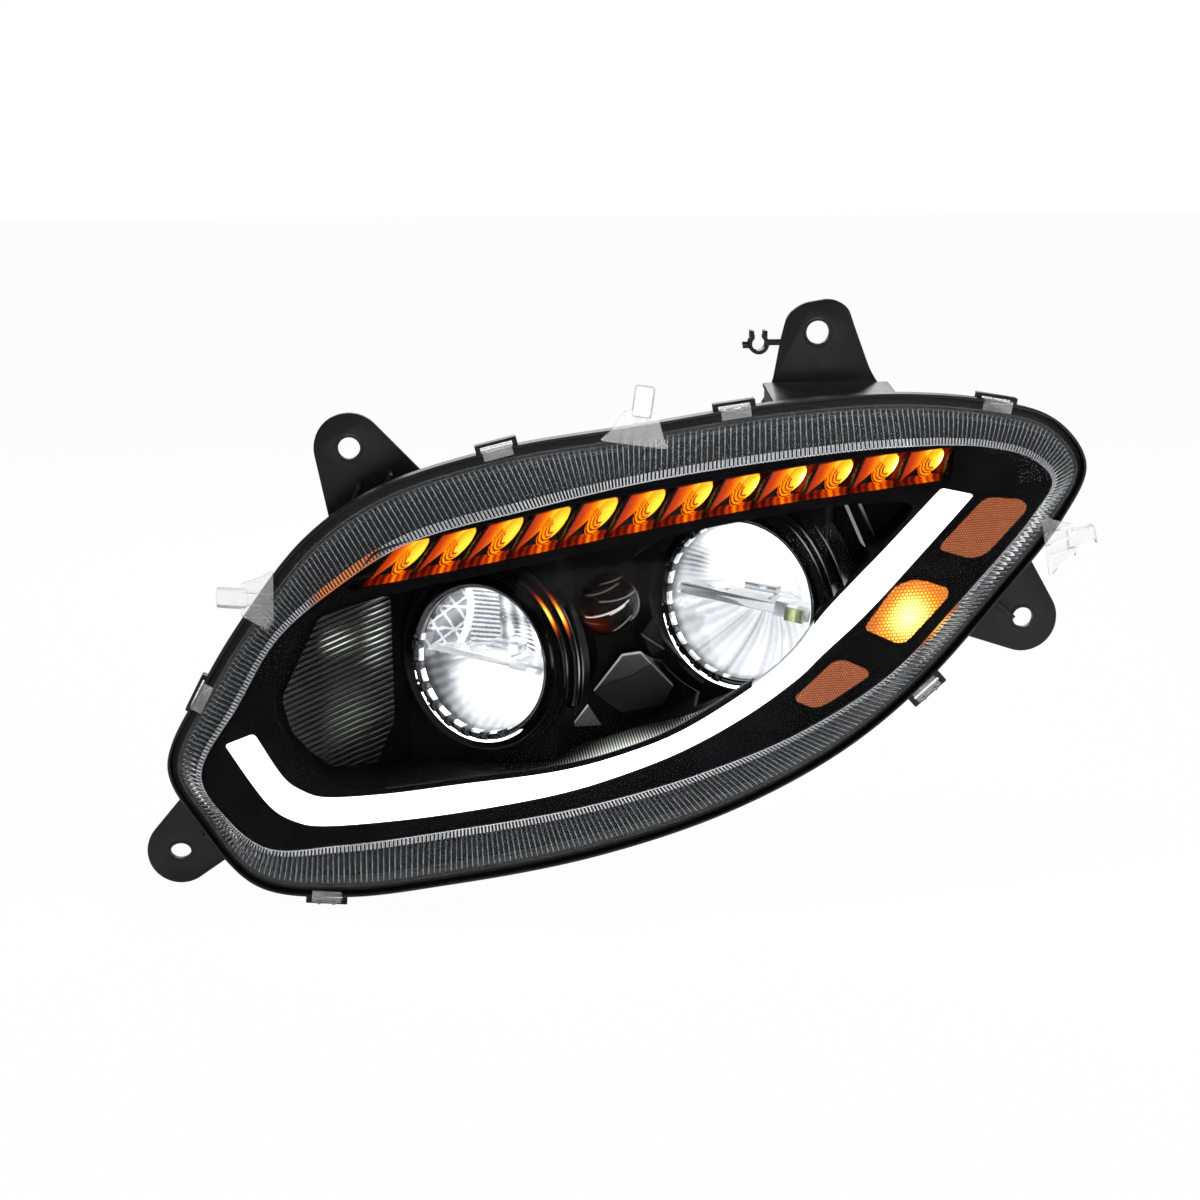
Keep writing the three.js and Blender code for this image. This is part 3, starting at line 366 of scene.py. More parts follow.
def even_shares(count):
    """Shares of the rim curve that are evenly spaced along its length."""
    dense = np.linspace(0, 1, 6001)
    points = closed_curve(RIM, dense[:-1])
    steps = np.linalg.norm(np.roll(points, -1, axis=0) - points, axis=1)
    length = np.concatenate([[0], np.cumsum(steps)])
    return np.interp(np.arange(count) / count * length[-1], length, dense)


def wrap(x):
    return WRAP_RADIUS - np.sqrt(WRAP_RADIUS**2 - np.asarray(x, float) ** 2)


_rings = {}


def ring(count, share=0.0, inset=0.0, shrink=1.0, depth=0.0, plane=None):
    """One ring between the rim (share 0) and the face's edge (share 1), inset by millimetres inwards."""
    if count not in _rings:
        where = even_shares(count)
        rim, face = closed_curve(RIM, where), closed_curve(FACE, where)
        _rings[count] = rim, face - rim
    rim, across = _rings[count]
    reach = np.linalg.norm(across, axis=1)[:, None]
    flat = (rim + across * (share + inset / reach)) * shrink
    y = np.full(count, plane) if plane is not None else FLANGE_Y + wrap(flat[:, 0]) + depth
    return np.column_stack([flat[:, 0], y, flat[:, 1]])


def loft(name, rings, front=None, rear=None):
    """A closed surface through rings: with poles it ends on them, else the last ring meets the first."""
    count = len(rings[0])
    verts = np.vstack(rings)
    around = [(i, (i + 1) % count) for i in range(count)]
    rows = len(rings) - 1 if front is not None else len(rings)
    faces = []
    for r in range(rows):
        here, after = r * count, ((r + 1) % len(rings)) * count
        faces += [(here + i, here + j, after + j, after + i) for i, j in around]
    if front is not None:
        last = (len(rings) - 1) * count
        verts = np.vstack([verts, [(0, front, 0)], [(0, rear, 0)]])
        front_at, rear_at = len(verts) - 2, len(verts) - 1
        faces += [(front_at, j, i) for i, j in around] + [(rear_at, last + i, last + j) for i, j in around]
    return new_object(name, verts, faces)


def wrapped_slab(front, back, name="slab"):
    xs = np.linspace(-410, 410, 165)
    ahead = [(x, FLANGE_Y + wrap(x) + front) for x in xs]
    behind = [(x, FLANGE_Y + wrap(x) + back) for x in xs[::-1]]
    return tower(ahead + behind, -260, 260, name)


def wrapped(outline, front, back, name="wrapped"):
    return meet(prism(outline, -200, 60, name), wrapped_slab(front, back))


def grown(outline, distance):
    """An outline moved outwards along its corners' normals."""
    p = np.array(outline, float)
    ahead, behind = np.roll(p, -1, axis=0), np.roll(p, 1, axis=0)
    area = np.sum(p[:, 0] * ahead[:, 1] - p[:, 1] * ahead[:, 0])
    one = (p - behind) / np.linalg.norm(p - behind, axis=1)[:, None]
    two = (ahead - p) / np.linalg.norm(ahead - p, axis=1)[:, None]
    normal = np.column_stack([one[:, 1] + two[:, 1], -one[:, 0] - two[:, 0]])
    normal /= np.linalg.norm(normal, axis=1)[:, None]
    stretch = 1 / np.clip(normal[:, 0] * one[:, 1] - normal[:, 1] * one[:, 0], 0.3, None)
    moved = p + normal * (np.sign(area) * distance * np.minimum(stretch, 1.6))[:, None]
    return [tuple(q) for q in moved]


def open_curve(points, count):
    """Points along a smooth open curve, as many between each two of its points."""
    p = np.array(points, float)
    ends = np.vstack([2 * p[0] - p[1], p, 2 * p[-1] - p[-2]])
    t = np.linspace(0, len(p) - 1 - 1e-6, count)
    i = t.astype(int)
    w = (t - i)[:, None]
    a, b, c, d = (ends[i + k] for k in range(4))
    return 0.5 * (2 * b + (c - a) * w + (2 * a - 5 * b + 4 * c - d) * w**2 + (3 * b - a - 3 * c + d) * w**3)


def smooth_path(points, count):
    """Points evenly spread along a smooth open curve."""
    dense = open_curve(points, 40 * (len(points) - 1))
    length = np.concatenate([[0], np.cumsum(np.linalg.norm(np.diff(dense, axis=0), axis=1))])
    at = np.linspace(0, length[-1], count)
    return [(np.interp(s, length, dense[:, 0]), np.interp(s, length, dense[:, 1])) for s in at]


def rounded(outline, radius=6.0, steps=5):
    """An outline with its corners rounded."""
    p = [Vector(q) for q in outline]
    result = []
    for i, corner in enumerate(p):
        before, after = p[i - 1] - corner, p[(i + 1) % len(p)] - corner
        reach = min(radius, before.length * 0.45, after.length * 0.45)
        start, end = corner + before.normalized() * reach, corner + after.normalized() * reach
        for k in range(steps + 1):
            s = k / steps
            result.append(tuple(start * (1 - s) ** 2 + corner * 2 * s * (1 - s) + end * s**2))
    return result


GUIDE = rounded(smooth_path(GUIDE_INNER, 90) + smooth_path(GUIDE_OUTER, 90)[::-1], 5, 3)
STRIP = rounded(smooth_path(STRIP_UPPER, 40) + smooth_path(STRIP_LOWER, 40)[::-1], 3, 3)
SMOOTH_RECESS = [tuple(q) for q in closed_curve(RECESS, np.arange(240) / 240)]
MARKER = rounded(SIDE_MARKER, 7)
REFLEX_TOP = rounded(UPPER_REFLEX, 8)
REFLEX_LOW = rounded(LOWER_REFLEX, 8)


def relief(outline, height, back, step, name):
    """A wrapped block whose front follows height(x, z) in depth from the flange, trimmed to an outline."""
    p = np.array(outline)
    xs = np.arange(p[:, 0].min() - 2 * step, p[:, 0].max() + 2 * step, step)
    zs = np.arange(p[:, 1].min() - 2 * step, p[:, 1].max() + 2 * step, step)
    gx, gz = np.meshgrid(xs, zs, indexing="ij")
    bend = FLANGE_Y + wrap(gx)
    face = np.stack([gx, bend + height(gx, gz), gz], -1)
    block = slab_between(name, face, np.stack([gx, bend + back, gz], -1))
    return meet(block, prism(outline, -200, 60))


def store(made, name, values):
    """Stores a value for each of a mesh's points, for its material to read."""
    layer = made.data.attributes.new(name, "FLOAT", "POINT")
    layer.data.foreach_set("value", np.asarray(values, np.float32))
    return made


def paint(made, name, value):
    """Stores value(x, y, z), in millimetres, on a mesh's points. A plain number paints them all alike."""
    co = np.empty(len(made.data.vertices) * 3, np.float32)
    made.data.vertices.foreach_get("co", co)
    x, y, z = (co.reshape(-1, 3) / MM).T
    return store(made, name, value(x, y, z) if callable(value) else np.full(len(x), value))


def paint_front(made, name, front):
    """Stores a grid of values on the front of a slab_between, and zero on its rear."""
    flat = np.ravel(front)
    return store(made, name, np.concatenate([flat, np.zeros(len(made.data.vertices) - len(flat))]))


def finish_piece(made, name, body, material, slot, *nodes, angle=32):
    """Names a piece, shades it, gives it its material, and sets it on its body."""
    made.name = name
    made.data.name = name
    made.data.transform(TO_ROW_FRAME)
    made.data.polygons.foreach_set("use_smooth", [True] * len(made.data.polygons))
    made.data.set_sharp_from_angle(angle=math.radians(angle))
    made.data.materials.clear()
    made.data.materials.append(material)
    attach(made, body)
    if nodes:
        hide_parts(*nodes)
    return made


# ---------------------------------------------------------------- materials


class Nodes:
    """Short names for building one material's node tree."""

    def __init__(self, name):
        self.material = bpy.data.materials.new(name)
        self.material.use_nodes = True
        self.tree = self.material.node_tree
        self.tree.nodes.clear()
        self.output = self.tree.nodes.new("ShaderNodeOutputMaterial")

    def add(self, kind, **inputs):
        node = self.tree.nodes.new("ShaderNode" + kind)
        for key, value in inputs.items():
            key = key.replace("_", " ")
            if isinstance(value, bpy.types.NodeSocket):
                self.tree.links.new(value, node.inputs[key])
            else:
                node.inputs[key].default_value = value
        return node

    def math(self, operation, a, b, c=0.0, clamp=False):
        node = self.tree.nodes.new("ShaderNodeMath")
        node.operation = operation
        node.use_clamp = clamp
        self.fill(node, (a, b, c))
        return node.outputs[0]

    def fill(self, node, values):
        """Links or sets a node's inputs in their order."""
        for socket, value in zip(node.inputs, values):
            if isinstance(value, bpy.types.NodeSocket):
                self.tree.links.new(value, socket)
            else:
                socket.default_value = value

    def ramp(self, factor, stops):
        node = self.tree.nodes.new("ShaderNodeValToRGB")
        self.tree.links.new(factor, node.inputs[0])
        ramp = node.color_ramp
        while len(ramp.elements) < len(stops):
            ramp.elements.new(0.5)
        for element, (place, colour) in zip(ramp.elements, stops):
            element.position = place
            element.color = (*colour, 1)
        return node.outputs[0]

    def attribute(self, name):
        node = self.tree.nodes.new("ShaderNodeAttribute")
        node.attribute_name = name
        return node.outputs["Fac"]

    def place(self):
        return self.tree.nodes.new("ShaderNodeTexCoord").outputs["Object"]

    def noise(self, scale, detail):
        cloud = self.add("TexNoise", Vector=self.place(), Scale=scale, Detail=detail, Roughness=0.55)
        return cloud.outputs["Fac"]

    def bump(self, height, strength, distance):
        return self.add("Bump", Height=height, Strength=strength, Distance=distance).outputs["Normal"]

    def mix(self, factor, one, two):
        node = self.tree.nodes.new("ShaderNodeMixShader")
        self.fill(node, (factor, one, two))
        return node.outputs[0]

    def done(self, shader):
        self.tree.links.new(shader, self.output.inputs["Surface"])
        return self.material


def moulded_plastic(name, colour, roughness, grain=2600, relief_strength=0.12, shine=0.5):
    """Moulded plastic with fine grain, slow tone drift and scuffed high spots."""
    n = Nodes(name)
    drift = n.noise(26, 4)
    fine = n.noise(grain, 2)
    dark = tuple(c * 0.8 for c in colour)
    light = tuple(c * 1.3 + 0.002 for c in colour)
    tone = n.ramp(drift, [(0.3, dark), (0.7, light)])
    rough = n.math("MULTIPLY_ADD", drift, 0.16, roughness - 0.08)
    shader = n.add("BsdfPrincipled", Base_Color=tone, Roughness=rough)
    shader.inputs["Specular IOR Level"].default_value = shine
    n.tree.links.new(n.bump(fine, relief_strength, 0.0002), shader.inputs["Normal"])
    return n.done(shader.outputs[0])


def metal(name, colour, roughness, scratch):
    """Bare metal with fine scratches and a slow drift of tone."""
    n = Nodes(name)
    brushed = n.noise(900, 3)
    cloud = n.noise(60, 4)
    tone = n.ramp(cloud, [(0.3, tuple(c * 0.86 for c in colour)), (0.7, colour)])
    rough = n.math("MULTIPLY_ADD", brushed, 0.18, roughness - 0.06)
    shader = n.add("BsdfPrincipled", Base_Color=tone, Roughness=rough, Metallic=1.0)
    n.tree.links.new(n.bump(brushed, scratch, 0.0002), shader.inputs["Normal"])
    return n.done(shader.outputs[0])


def clear_plastic(name, index, haze_and_highlight, roughness=0.03, haze_and_highlight_colour=(0.9, 0.92, 0.95), grain=300, amber=None):
    """Clear plastic that lets light straight through and mirrors by angle, to the camera only.

    The hazy white layer is set by a number, or by the name of a painted value, which on the lens and its edge prisms
    is mostly painted highlight. amber names painted amber light.
    """
    n = Nodes(name)
    bent = n.bump(n.noise(40, 2), 0.06, 0.0006)
    fresnel = n.add("Fresnel", IOR=index, Normal=bent)
    through = n.add("BsdfTransparent", Color=(1, 1, 1, 1))
    mirror = n.add("BsdfGlossy", Color=(1, 1, 1, 1), Roughness=roughness, Normal=bent)
    seen = n.math("MULTIPLY", fresnel.outputs[0], n.add("LightPath").outputs["Is Camera Ray"])
    shader = n.mix(seen, through.outputs[0], mirror.outputs[0])
    # A diffuse white layer: real haze on the gate tabs and snap tongues, painted highlight on the lens's flute crests
    # and edge prisms.
    haze_and_highlight_shader = n.add("BsdfDiffuse", Color=(*haze_and_highlight_colour, 1), Roughness=0.5)
    amount = n.attribute(haze_and_highlight) if isinstance(haze_and_highlight, str) else haze_and_highlight
    cloud = n.math("MULTIPLY", n.math("MULTIPLY", n.noise(grain, 3), 2), amount)
    shader = n.mix(cloud, shader, haze_and_highlight_shader.outputs[0])
    if amber:
        level = n.attribute(amber)
        colour = n.ramp(level, [(0.0, (0.3, 0.01, 0.0)), (0.5, (1.0, 0.22, 0.0)), (1.0, (1.0, 0.7, 0.15))])
        spill = n.add("Emission", Color=colour, Strength=n.math("MULTIPLY", level, 1.5))
        shader = n.mix(n.math("MULTIPLY", level, 1.6, clamp=True), shader, spill.outputs[0])
    return n.done(shader)


def lit(name, strength, stops, base, metallic=0.0, roughness=0.3, grain=700, shine=0.5):
    """A surface whose painted glow gives its colour along stops, and how brightly it shines."""
    n = Nodes(name)
    uneven = n.math("MULTIPLY_ADD", n.noise(grain, 3), 0.12, -0.06)
    level = n.math("ADD", n.attribute("glow"), uneven, clamp=True)
    colour = n.ramp(level, stops)
    power = n.math("MULTIPLY", n.math("POWER", level, 1.6), strength)
    shader = n.add(
        "BsdfPrincipled", Base_Color=(*base, 1), Metallic=metallic, Roughness=roughness,
        Emission_Color=colour, Emission_Strength=power,
    )
    shader.inputs["Specular IOR Level"].default_value = shine
    n.tree.links.new(n.bump(n.noise(grain, 2), 0.1, 0.0003), shader.inputs["Normal"])
    return n.done(shader.outputs[0])


HOUSING_BLACK = moulded_plastic("housing_black", (0.007, 0.007, 0.0075), 0.4, 2200, 0.2, 0.32)
BEZEL_BLACK = moulded_plastic("bezel_black", (0.0035, 0.0035, 0.004), 0.42, 350, 0.03, 0.02)
GLOSS_BLACK = moulded_plastic("gloss_black", (0.006, 0.006, 0.0065), 0.14, 900, 0.03, 0.6)
CAP_BLACK = moulded_plastic("cap_black", (0.014, 0.014, 0.015), 0.5, 1800, 0.25)
RUBBER = moulded_plastic("rubber", (0.016, 0.016, 0.016), 0.72, 900, 0.4)
RED_RUBBER = moulded_plastic("red_rubber", (0.25, 0.03, 0.02), 0.6, 900, 0.3)
NYLON = moulded_plastic("natural_nylon", (0.72, 0.68, 0.58), 0.42, 1200, 0.15)
GREY_PLASTIC = moulded_plastic("grey_plastic", (0.06, 0.06, 0.064), 0.5, 1500, 0.25)
WHITE_PLASTIC = moulded_plastic("white_plastic", (0.8, 0.8, 0.8), 0.5, 1200, 0.1)
BOARD = moulded_plastic("circuit_board", (0.02, 0.16, 0.06), 0.35, 500, 0.15)
SLEEVE = moulded_plastic("cable_sleeve", (0.012, 0.012, 0.012), 0.4, 700, 0.2)
CAST = metal("cast_aluminium", (0.5, 0.51, 0.52), 0.42, 0.5)
ZINC = metal("zinc_steel", (0.62, 0.63, 0.62), 0.3, 0.15)
LENS_CLEAR = clear_plastic("lens_clear", 1.06, haze_and_highlight="haze_and_highlight")
FLUTE_CLEAR = clear_plastic("flute_clear", 1.5, haze_and_highlight="haze_and_highlight", amber="amber")
GATE_CLEAR = clear_plastic("gate_clear", 1.35, haze_and_highlight=0.17, roughness=0.1, haze_and_highlight_colour=(1, 1, 1), grain=60)
WHITE_STOPS = [(0.0, (0.25, 0.28, 0.32)), (0.5, (0.9, 0.95, 1.0)), (1.0, (1, 1, 1))]
AMBER_STOPS = [
    (0.0, (0.0, 0.0, 0.0)), (0.18, (0.3, 0.004, 0.0)), (0.4, (1.0, 0.07, 0.0)),
    (0.62, (1.0, 0.24, 0.0)), (0.82, (1.0, 0.62, 0.04)), (1.0, (1.0, 0.9, 0.35)),
]
GUIDE_LIT = lit("guide_lit", 7.0, [(0.0, (0.8, 0.86, 1.0)), (1.0, (1, 1, 1))], base=(0.8, 0.8, 0.8))
CELL_LIT = lit("cell_lit", 2.6, AMBER_STOPS, base=(0.005, 0.005, 0.005), roughness=0.3, shine=0.08)
MARKER_LIT = lit("marker_lit", 2.0, AMBER_STOPS, base=(0.5, 0.2, 0.02), roughness=0.2)
RING_BLACK = moulded_plastic("ring_black", (0.006, 0.006, 0.0065), 0.16, 900, 0.03, 0.9)
TILE_LIT = lit("tile_lit", 1.1, WHITE_STOPS, base=(0.8, 0.8, 0.82), metallic=1.0, roughness=0.15)
PANEL_STOPS = [
    (0.0, (0.0, 0.0, 0.0)), (0.25, (0.06, 0.06, 0.06)), (0.6, (0.7, 0.75, 0.68)), (1.0, (1, 1, 0.95)),
]
PANEL_LIT = lit("panel_lit", 1.4, PANEL_STOPS, base=(0.006, 0.006, 0.006), roughness=0.2)
BLADE_LIT = lit("blade_lit", 1.7, AMBER_STOPS, base=(0.005, 0.005, 0.005), roughness=0.15, shine=0.25)
GLINT_STOPS = [(0.0, (0.0, 0.0, 0.0)), (0.3, (0.2, 0.2, 0.2)), (1.0, (1, 1, 1))]
GLINT_BLACK = lit("glint_black", 1.3, GLINT_STOPS, base=(0.004, 0.004, 0.004), roughness=0.2, shine=0.1)
DOME_STOPS = [
    (0.0, (0.0, 0.0, 0.0)), (0.2, (0.6, 0.05, 0.0)), (0.32, (0.12, 0.10, 0.10)), (0.6, (0.6, 0.6, 0.6)),
    (1.0, (1, 1, 1)),
]
DOME_LIT = lit("dome_lit", 1.6, DOME_STOPS, base=(0.006, 0.005, 0.005), roughness=0.2, shine=0.04)
GREEN_STOPS = [(0.0, (0.1, 0.14, 0.04)), (0.6, (0.6, 0.72, 0.3)), (1.0, (0.95, 1.0, 0.7))]
EMITTER_LIT = lit("emitter_lit", 1.4, GREEN_STOPS, base=(0.3, 0.32, 0.2), roughness=0.3)
BOWL_LIT = lit("bowl_lit", 1.45, WHITE_STOPS, base=(0.3, 0.3, 0.31), metallic=1.0, roughness=0.09, grain=200)


def reflex_material():
    """Amber prismatic reflex: painted light makes each little prism lighter at its crest, painted shade darkens its
    grooves, and the same value gives it a faint painted glow.
    """
    n = Nodes("reflex_amber")
    level = n.math("ADD", n.attribute("glow"), n.math("MULTIPLY", n.noise(260, 2), 0.25))
    stops = [(0.1, (0.07, 0.012, 0.003)), (0.4, (0.30, 0.06, 0.014)), (0.9, (0.72, 0.22, 0.06))]
    tone = n.ramp(level, stops)
    glow = dict(Emission_Color=tone, Emission_Strength=0.16)
    shader = n.add("BsdfPrincipled", Base_Color=tone, Roughness=0.3, **glow)
    n.tree.links.new(n.bump(n.noise(1800, 2), 0.15, 0.0003), shader.inputs["Normal"])
    return n.done(shader.outputs[0])


REFLEX = reflex_material()

# ---------------------------------------------------------------- outer lens

LENS_STEPS = FLUTES * STEPS_PER_FLUTE
LENS_HAZE = [0.02, 0.10, 0.02, 0.016, 0.014, 0.012, 0.006, 0.03]  # by ring, from the foot inwards
# Painted highlight on the crest of each flute, by ring, laid on top of the haze.
RIDGE_HIGHLIGHT = [0.0, 0.05, 0.30, 0.42, 0.36, 0.20, 0.03, 0.0]  # added on the crest of each flute
FLUTED_RINGS = ((3, 0.5), (4, 0.9), (5, 0.9), (6, 0.4))  # (ring, height of its flutes)
LENS_DOME = ((0.99, 0.02), (0.94, 0.12), (0.86, 0.26), (0.72, 0.48), (0.52, 0.73), (0.3, 0.91), (0.12, 0.985))
TEETH = 560
TOOTH_RISE = np.array((0, -1.7, 0))


def lens_profile(into):
    """Rings of one face of the lens, from its foot to near its middle. into moves it through the wall."""
    return [
        dict(inset=9 + into, depth=7),
        dict(inset=9 + into, depth=-2 + into * 0.3),
        dict(inset=9.6 + into, depth=-3.6 + into * 0.4),
        dict(inset=12 + into, depth=-5 + into * 0.5),
        dict(share=0.45, inset=into, depth=-12 + into * 0.7),
        dict(share=0.8, inset=into, depth=6 - FACE_RISE + into * 0.8),
        dict(share=0.9, inset=into * 0.9, depth=2.4 - FACE_RISE + into * 0.9),
        dict(share=1.0, inset=into * 0.7, depth=into - FACE_RISE),
    ] + [dict(share=1.0, shrink=k, depth=into - FACE_RISE - FACE_DOME * bulge) for k, bulge in LENS_DOME]


def build_lens():
    outer = [ring(LENS_STEPS, **place) for place in lens_profile(0)]
    inner = [ring(LENS_STEPS, **place) for place in lens_profile(LENS_WALL)]
    step = np.arange(LENS_STEPS)
    for index, height in FLUTED_RINGS:
        inner[index][:, 1] += height * np.cos(2 * math.pi * step / STEPS_PER_FLUTE)
    top = FLANGE_Y - FACE_RISE - FACE_DOME
    shell = loft("lens", outer[::-1] + inner, top, top + LENS_WALL)
    # Painted highlight: a white line along each flute crest on the inside of the fluted rings.
    ridge = (step % STEPS_PER_FLUTE == 0).astype(float)
    plain = np.zeros(LENS_STEPS)
    outside = [plain + level for level in LENS_HAZE] + [plain] * (len(outer) - len(LENS_HAZE))
    inside = [level + height * ridge for level, height in zip(LENS_HAZE, RIDGE_HIGHLIGHT)]
    inside += [plain] * (len(inner) - len(inside))
    store(shell, "haze_and_highlight", np.concatenate(outside[::-1] + inside + [[0, 0]]))
    finish_piece(shell, "outer_lens", "lamp_body", LENS_CLEAR, "clear_lens", "lens", angle=50)


def teeth_highlight(x, y, z):
    """Painted highlight on the edge prisms: brightest along the top, and sparkling towards the inboard tip."""
    top = step_up(z - 0.28 * x, 60, 130)
    tip = step_up(-x, 240, 330) * (0.5 + 0.5 * np.sin(x * 0.9) * np.sin(z * 0.7))
    return 0.16 + 0.34 * top + 0.4 * tip


def teeth_amber(x, y, z):
    """Amber light on the edge prisms beside the strip's inboard end and beside the side marker."""
    inboard = step_up(x, -262, -246) * step_up(-x, 196, 204) * (z > 0)
    along = (x - 252) * 0.62 + (z - 18) * 0.78
    marker = np.exp(-((along / 20) ** 2)) * (x > 200) * (z < 70)
    return np.clip(0.5 * inboard + 0.85 * marker, 0, 1)


def build_flute_teeth():
    """Short hollow prisms moulded inside the lens's edge, each a U of thin walls, which catch the light."""
    inner = ring(TEETH, share=0.97, inset=3.2, depth=6.0 - FACE_RISE)
    outer = ring(TEETH, share=0.83, inset=3.0, depth=11.0 - FACE_RISE)
    along = np.roll(inner, -1, axis=0) - np.roll(inner, 1, axis=0)
    along /= np.linalg.norm(along, axis=1)[:, None]
    verts, faces = [], []

    def wall(start, end, side):
        base = len(verts)
        for place in (start, end):
            verts.extend([place - side, place - side + TOOTH_RISE, place + side + TOOTH_RISE, place + side])
        faces.extend([(base + 3, base + 2, base + 1, base), (base + 4, base + 5, base + 6, base + 7)])
        faces.extend((base + k, base + (k + 1) % 4, base + 4 + (k + 1) % 4, base + 4 + k) for k in range(4))

    for near, far, way in zip(inner, outer, along):
        inward = (near - far) / np.linalg.norm(near - far)
        for shift in (-1.15, 1.15):
            wall(far + way * shift, near + way * shift, way * 0.3)
        wall(near - way * 0.86, near + way * 0.86, inward * 0.32)
    teeth = new_object("teeth", verts, faces)
    # Painted highlights and painted amber spill light on the edge prisms.
    paint(teeth, "haze_and_highlight", teeth_highlight)
    paint(teeth, "amber", teeth_amber)
    finish_piece(teeth, "lens_edge_prisms", "lamp_body", FLUTE_CLEAR, "clear_lens", angle=20)


def build_gate_tabs():
    """Flat tabs left from moulding on the lens's edge, each with a peg and three ribs."""
    plate = [(-28, -2), (28, -2), (22, 7), (15, 25), (-11, 25), (-20, 7)]
    peg = [(-5, 20), (10, 20), (10, 45), (-5, 45)]
    for i, (x, z, turn) in enumerate(GATE_TABS):
        angle = math.radians(turn)

        def place(points):
            c, s = math.cos(angle), math.sin(angle)
            return [(x + a * c - b * s, z + a * s + b * c) for a, b in points]

        tab = wrapped(place(rounded(plate, 3, 3)), -6, -3, "gate")
        tab = join(tab, wrapped(place(rounded(peg, 2, 2)), -8, 4))
        for a in (-12, -2, 8):
            rib = [(a, -2), (a + 2, -2), (a + 1.2, 24), (a + 0.6, 24)]
            join(tab, wrapped(place(rib), -9, -3.5))
        soften(tab, 0.5, 1, 40)
        finish_piece(tab, f"lens_gate_tab_{i + 1}", "lamp_body", GATE_CLEAR, "clear_lens")


# ---------------------------------------------------------------- housing

SHELL_STEPS = 720


def by_depth(count, places):
    """Rings from (inset, depth from the flange)."""
    return [ring(count, inset=inset, depth=depth) for inset, depth in places]


def by_plane(count, places):
    """Flat rings from (inset, distance in front of the rear wall)."""
    return [ring(count, inset=inset, plane=REAR_Y - ahead) for inset, ahead in places]


def build_housing_shell():
    """The body's wall: its outside, the channel for the lens's foot and its seal, and its inside."""
    n = SHELL_STEPS
    rings = by_plane(n, [(60, 0), (31, 0), (28, 0.8), (23, 5), (20.5, 9)])
    rings += by_depth(n, [(12.6, 16), (11, 14.6), (1.2, 13.2), (0, 12), (0, -1.2), (0.6, -2), (2.0, -2)])
    rings += by_depth(n, [(2.5, -1.4), (2.5, 10.8), (15.5, 10.8), (15.5, -0.6), (15.9, -1), (18.1, -1)])
    rings += by_depth(n, [(18.5, -0.6), (18.5, 12)])
    rings += by_plane(n, [(26, 9), (32, SHELL_WALL), (60, SHELL_WALL)])
    return loft("housing_shell", rings, REAR_Y, REAR_Y - SHELL_WALL)


def core_of_housing():
    """What has to stay empty of tabs and webs inside the body's wall."""
    n = 360
    rings = by_depth(n, [(1.0, -60), (1.0, 12.4), (12.4, 14.6)]) + by_plane(n, [(23.2, 8), (30, 1)])
    return loft("core", rings, FLANGE_Y - 60, REAR_Y - 1)


def arc(x, z, radius, start, end, steps=24):
    angles = np.linspace(math.radians(start), math.radians(end), steps)
    return [(x + radius * math.cos(a), z + radius * math.sin(a)) for a in angles]


def convex(points):
    """The convex outline round flat points."""
    ordered = sorted(set(points))

    def side(run):
        chain = []
        for q in run:
            while len(chain) > 1:
                (ax, ay), (bx, by) = chain[-2:]
                if (bx - ax) * (q[1] - ay) - (by - ay) * (q[0] - ax) > 0:
                    break
                chain.pop()
            chain.append(q)
        return chain[:-1]

    return side(ordered) + side(ordered[::-1])


def round_tab(x, z, radius, *roots):
    return convex(arc(x, z, radius, 0, 350, 72) + list(roots))


def tab_outlines():
    top = [(112, 150), (112, 184), (124, 204), (131, 243), (136, 262), (148, 271), (172, 275), (186, 268)]
    top += [(191, 253), (206, 213), (223, 190), (223, 150)]
    return [
        rounded(top, 9, 5),
        round_tab(-224, 155, 29, (-150, 120), (-238, 80)),
        round_tab(-371, -185, 28, (-345, -110), (-300, -170)),
        round_tab(339, 5, 29, (254, 2), (329, 82)),
    ]


def build_tabs():
    """The bolt tabs: soft-edged plates, each with a low rim round its hole and a moulded ring mark."""
    plates = []
    front = -TAB_THICK - 0.5
    for outline, (x, z, radius, squash), (mark_x, mark_z) in zip(tab_outlines(), TAB_HOLES, TAB_MARKS):
        plate = soften(prism(outline, -TAB_THICK, 0, "tab"), 0.8, 2, 40)
        inside, outside = radius - 1, radius + 2.6
        rim = [(inside, front), (radius + 2, front), (outside, -TAB_THICK), (outside, -2), (inside, -2)]
        rim = turned(rim, 64)
        rim.data.transform(Matrix.Diagonal((1, 1, squash, 1)))
        mark = turned([(4.6, front + 0.1), (5.8, front + 0.1), (5.8, -3), (4.6, -3)], 48)
        plate = join(plate, move(rim, x, 0, z), move(mark, mark_x, 0, mark_z))
        hole = rod(radius, -30, 10)
        hole.data.transform(Matrix.Diagonal((1, 1, squash, 1)))
        plates.append(cut(plate, move(hole, x, 0, z)))
    return plates


def tab_shelf():
    """A sloping shelf in front of the top tab, carried by webs."""
    plate = soften(bar([(-78, 195), (-4, 202), (-4, 206), (-78, 199)], 116, 220), 0.8)
    web = [(-72, 170), (-76, 197), (-14, 203), (-14, 170)]
    return join(plate, *[bar(web, x, x + 3) for x in (116, 133, 150, 167, 184, 201, 217)])


def tab_webs():
    """Webs behind the three outer tabs, as (width, depth, height, x, y, z, turn)."""
    ribs = [(3, 40, 34, -222, -20, 112, 20), (3, 34, 34, -196, -20, 122, 20)]
    ribs += [(40, 24, 3, 312, -14, 22, 40), (3, 22, 30, -340, -8, -160, 46)]
    return [move(box(*rib[:3], bevel=0.5), *rib[3:]) for rib in ribs]


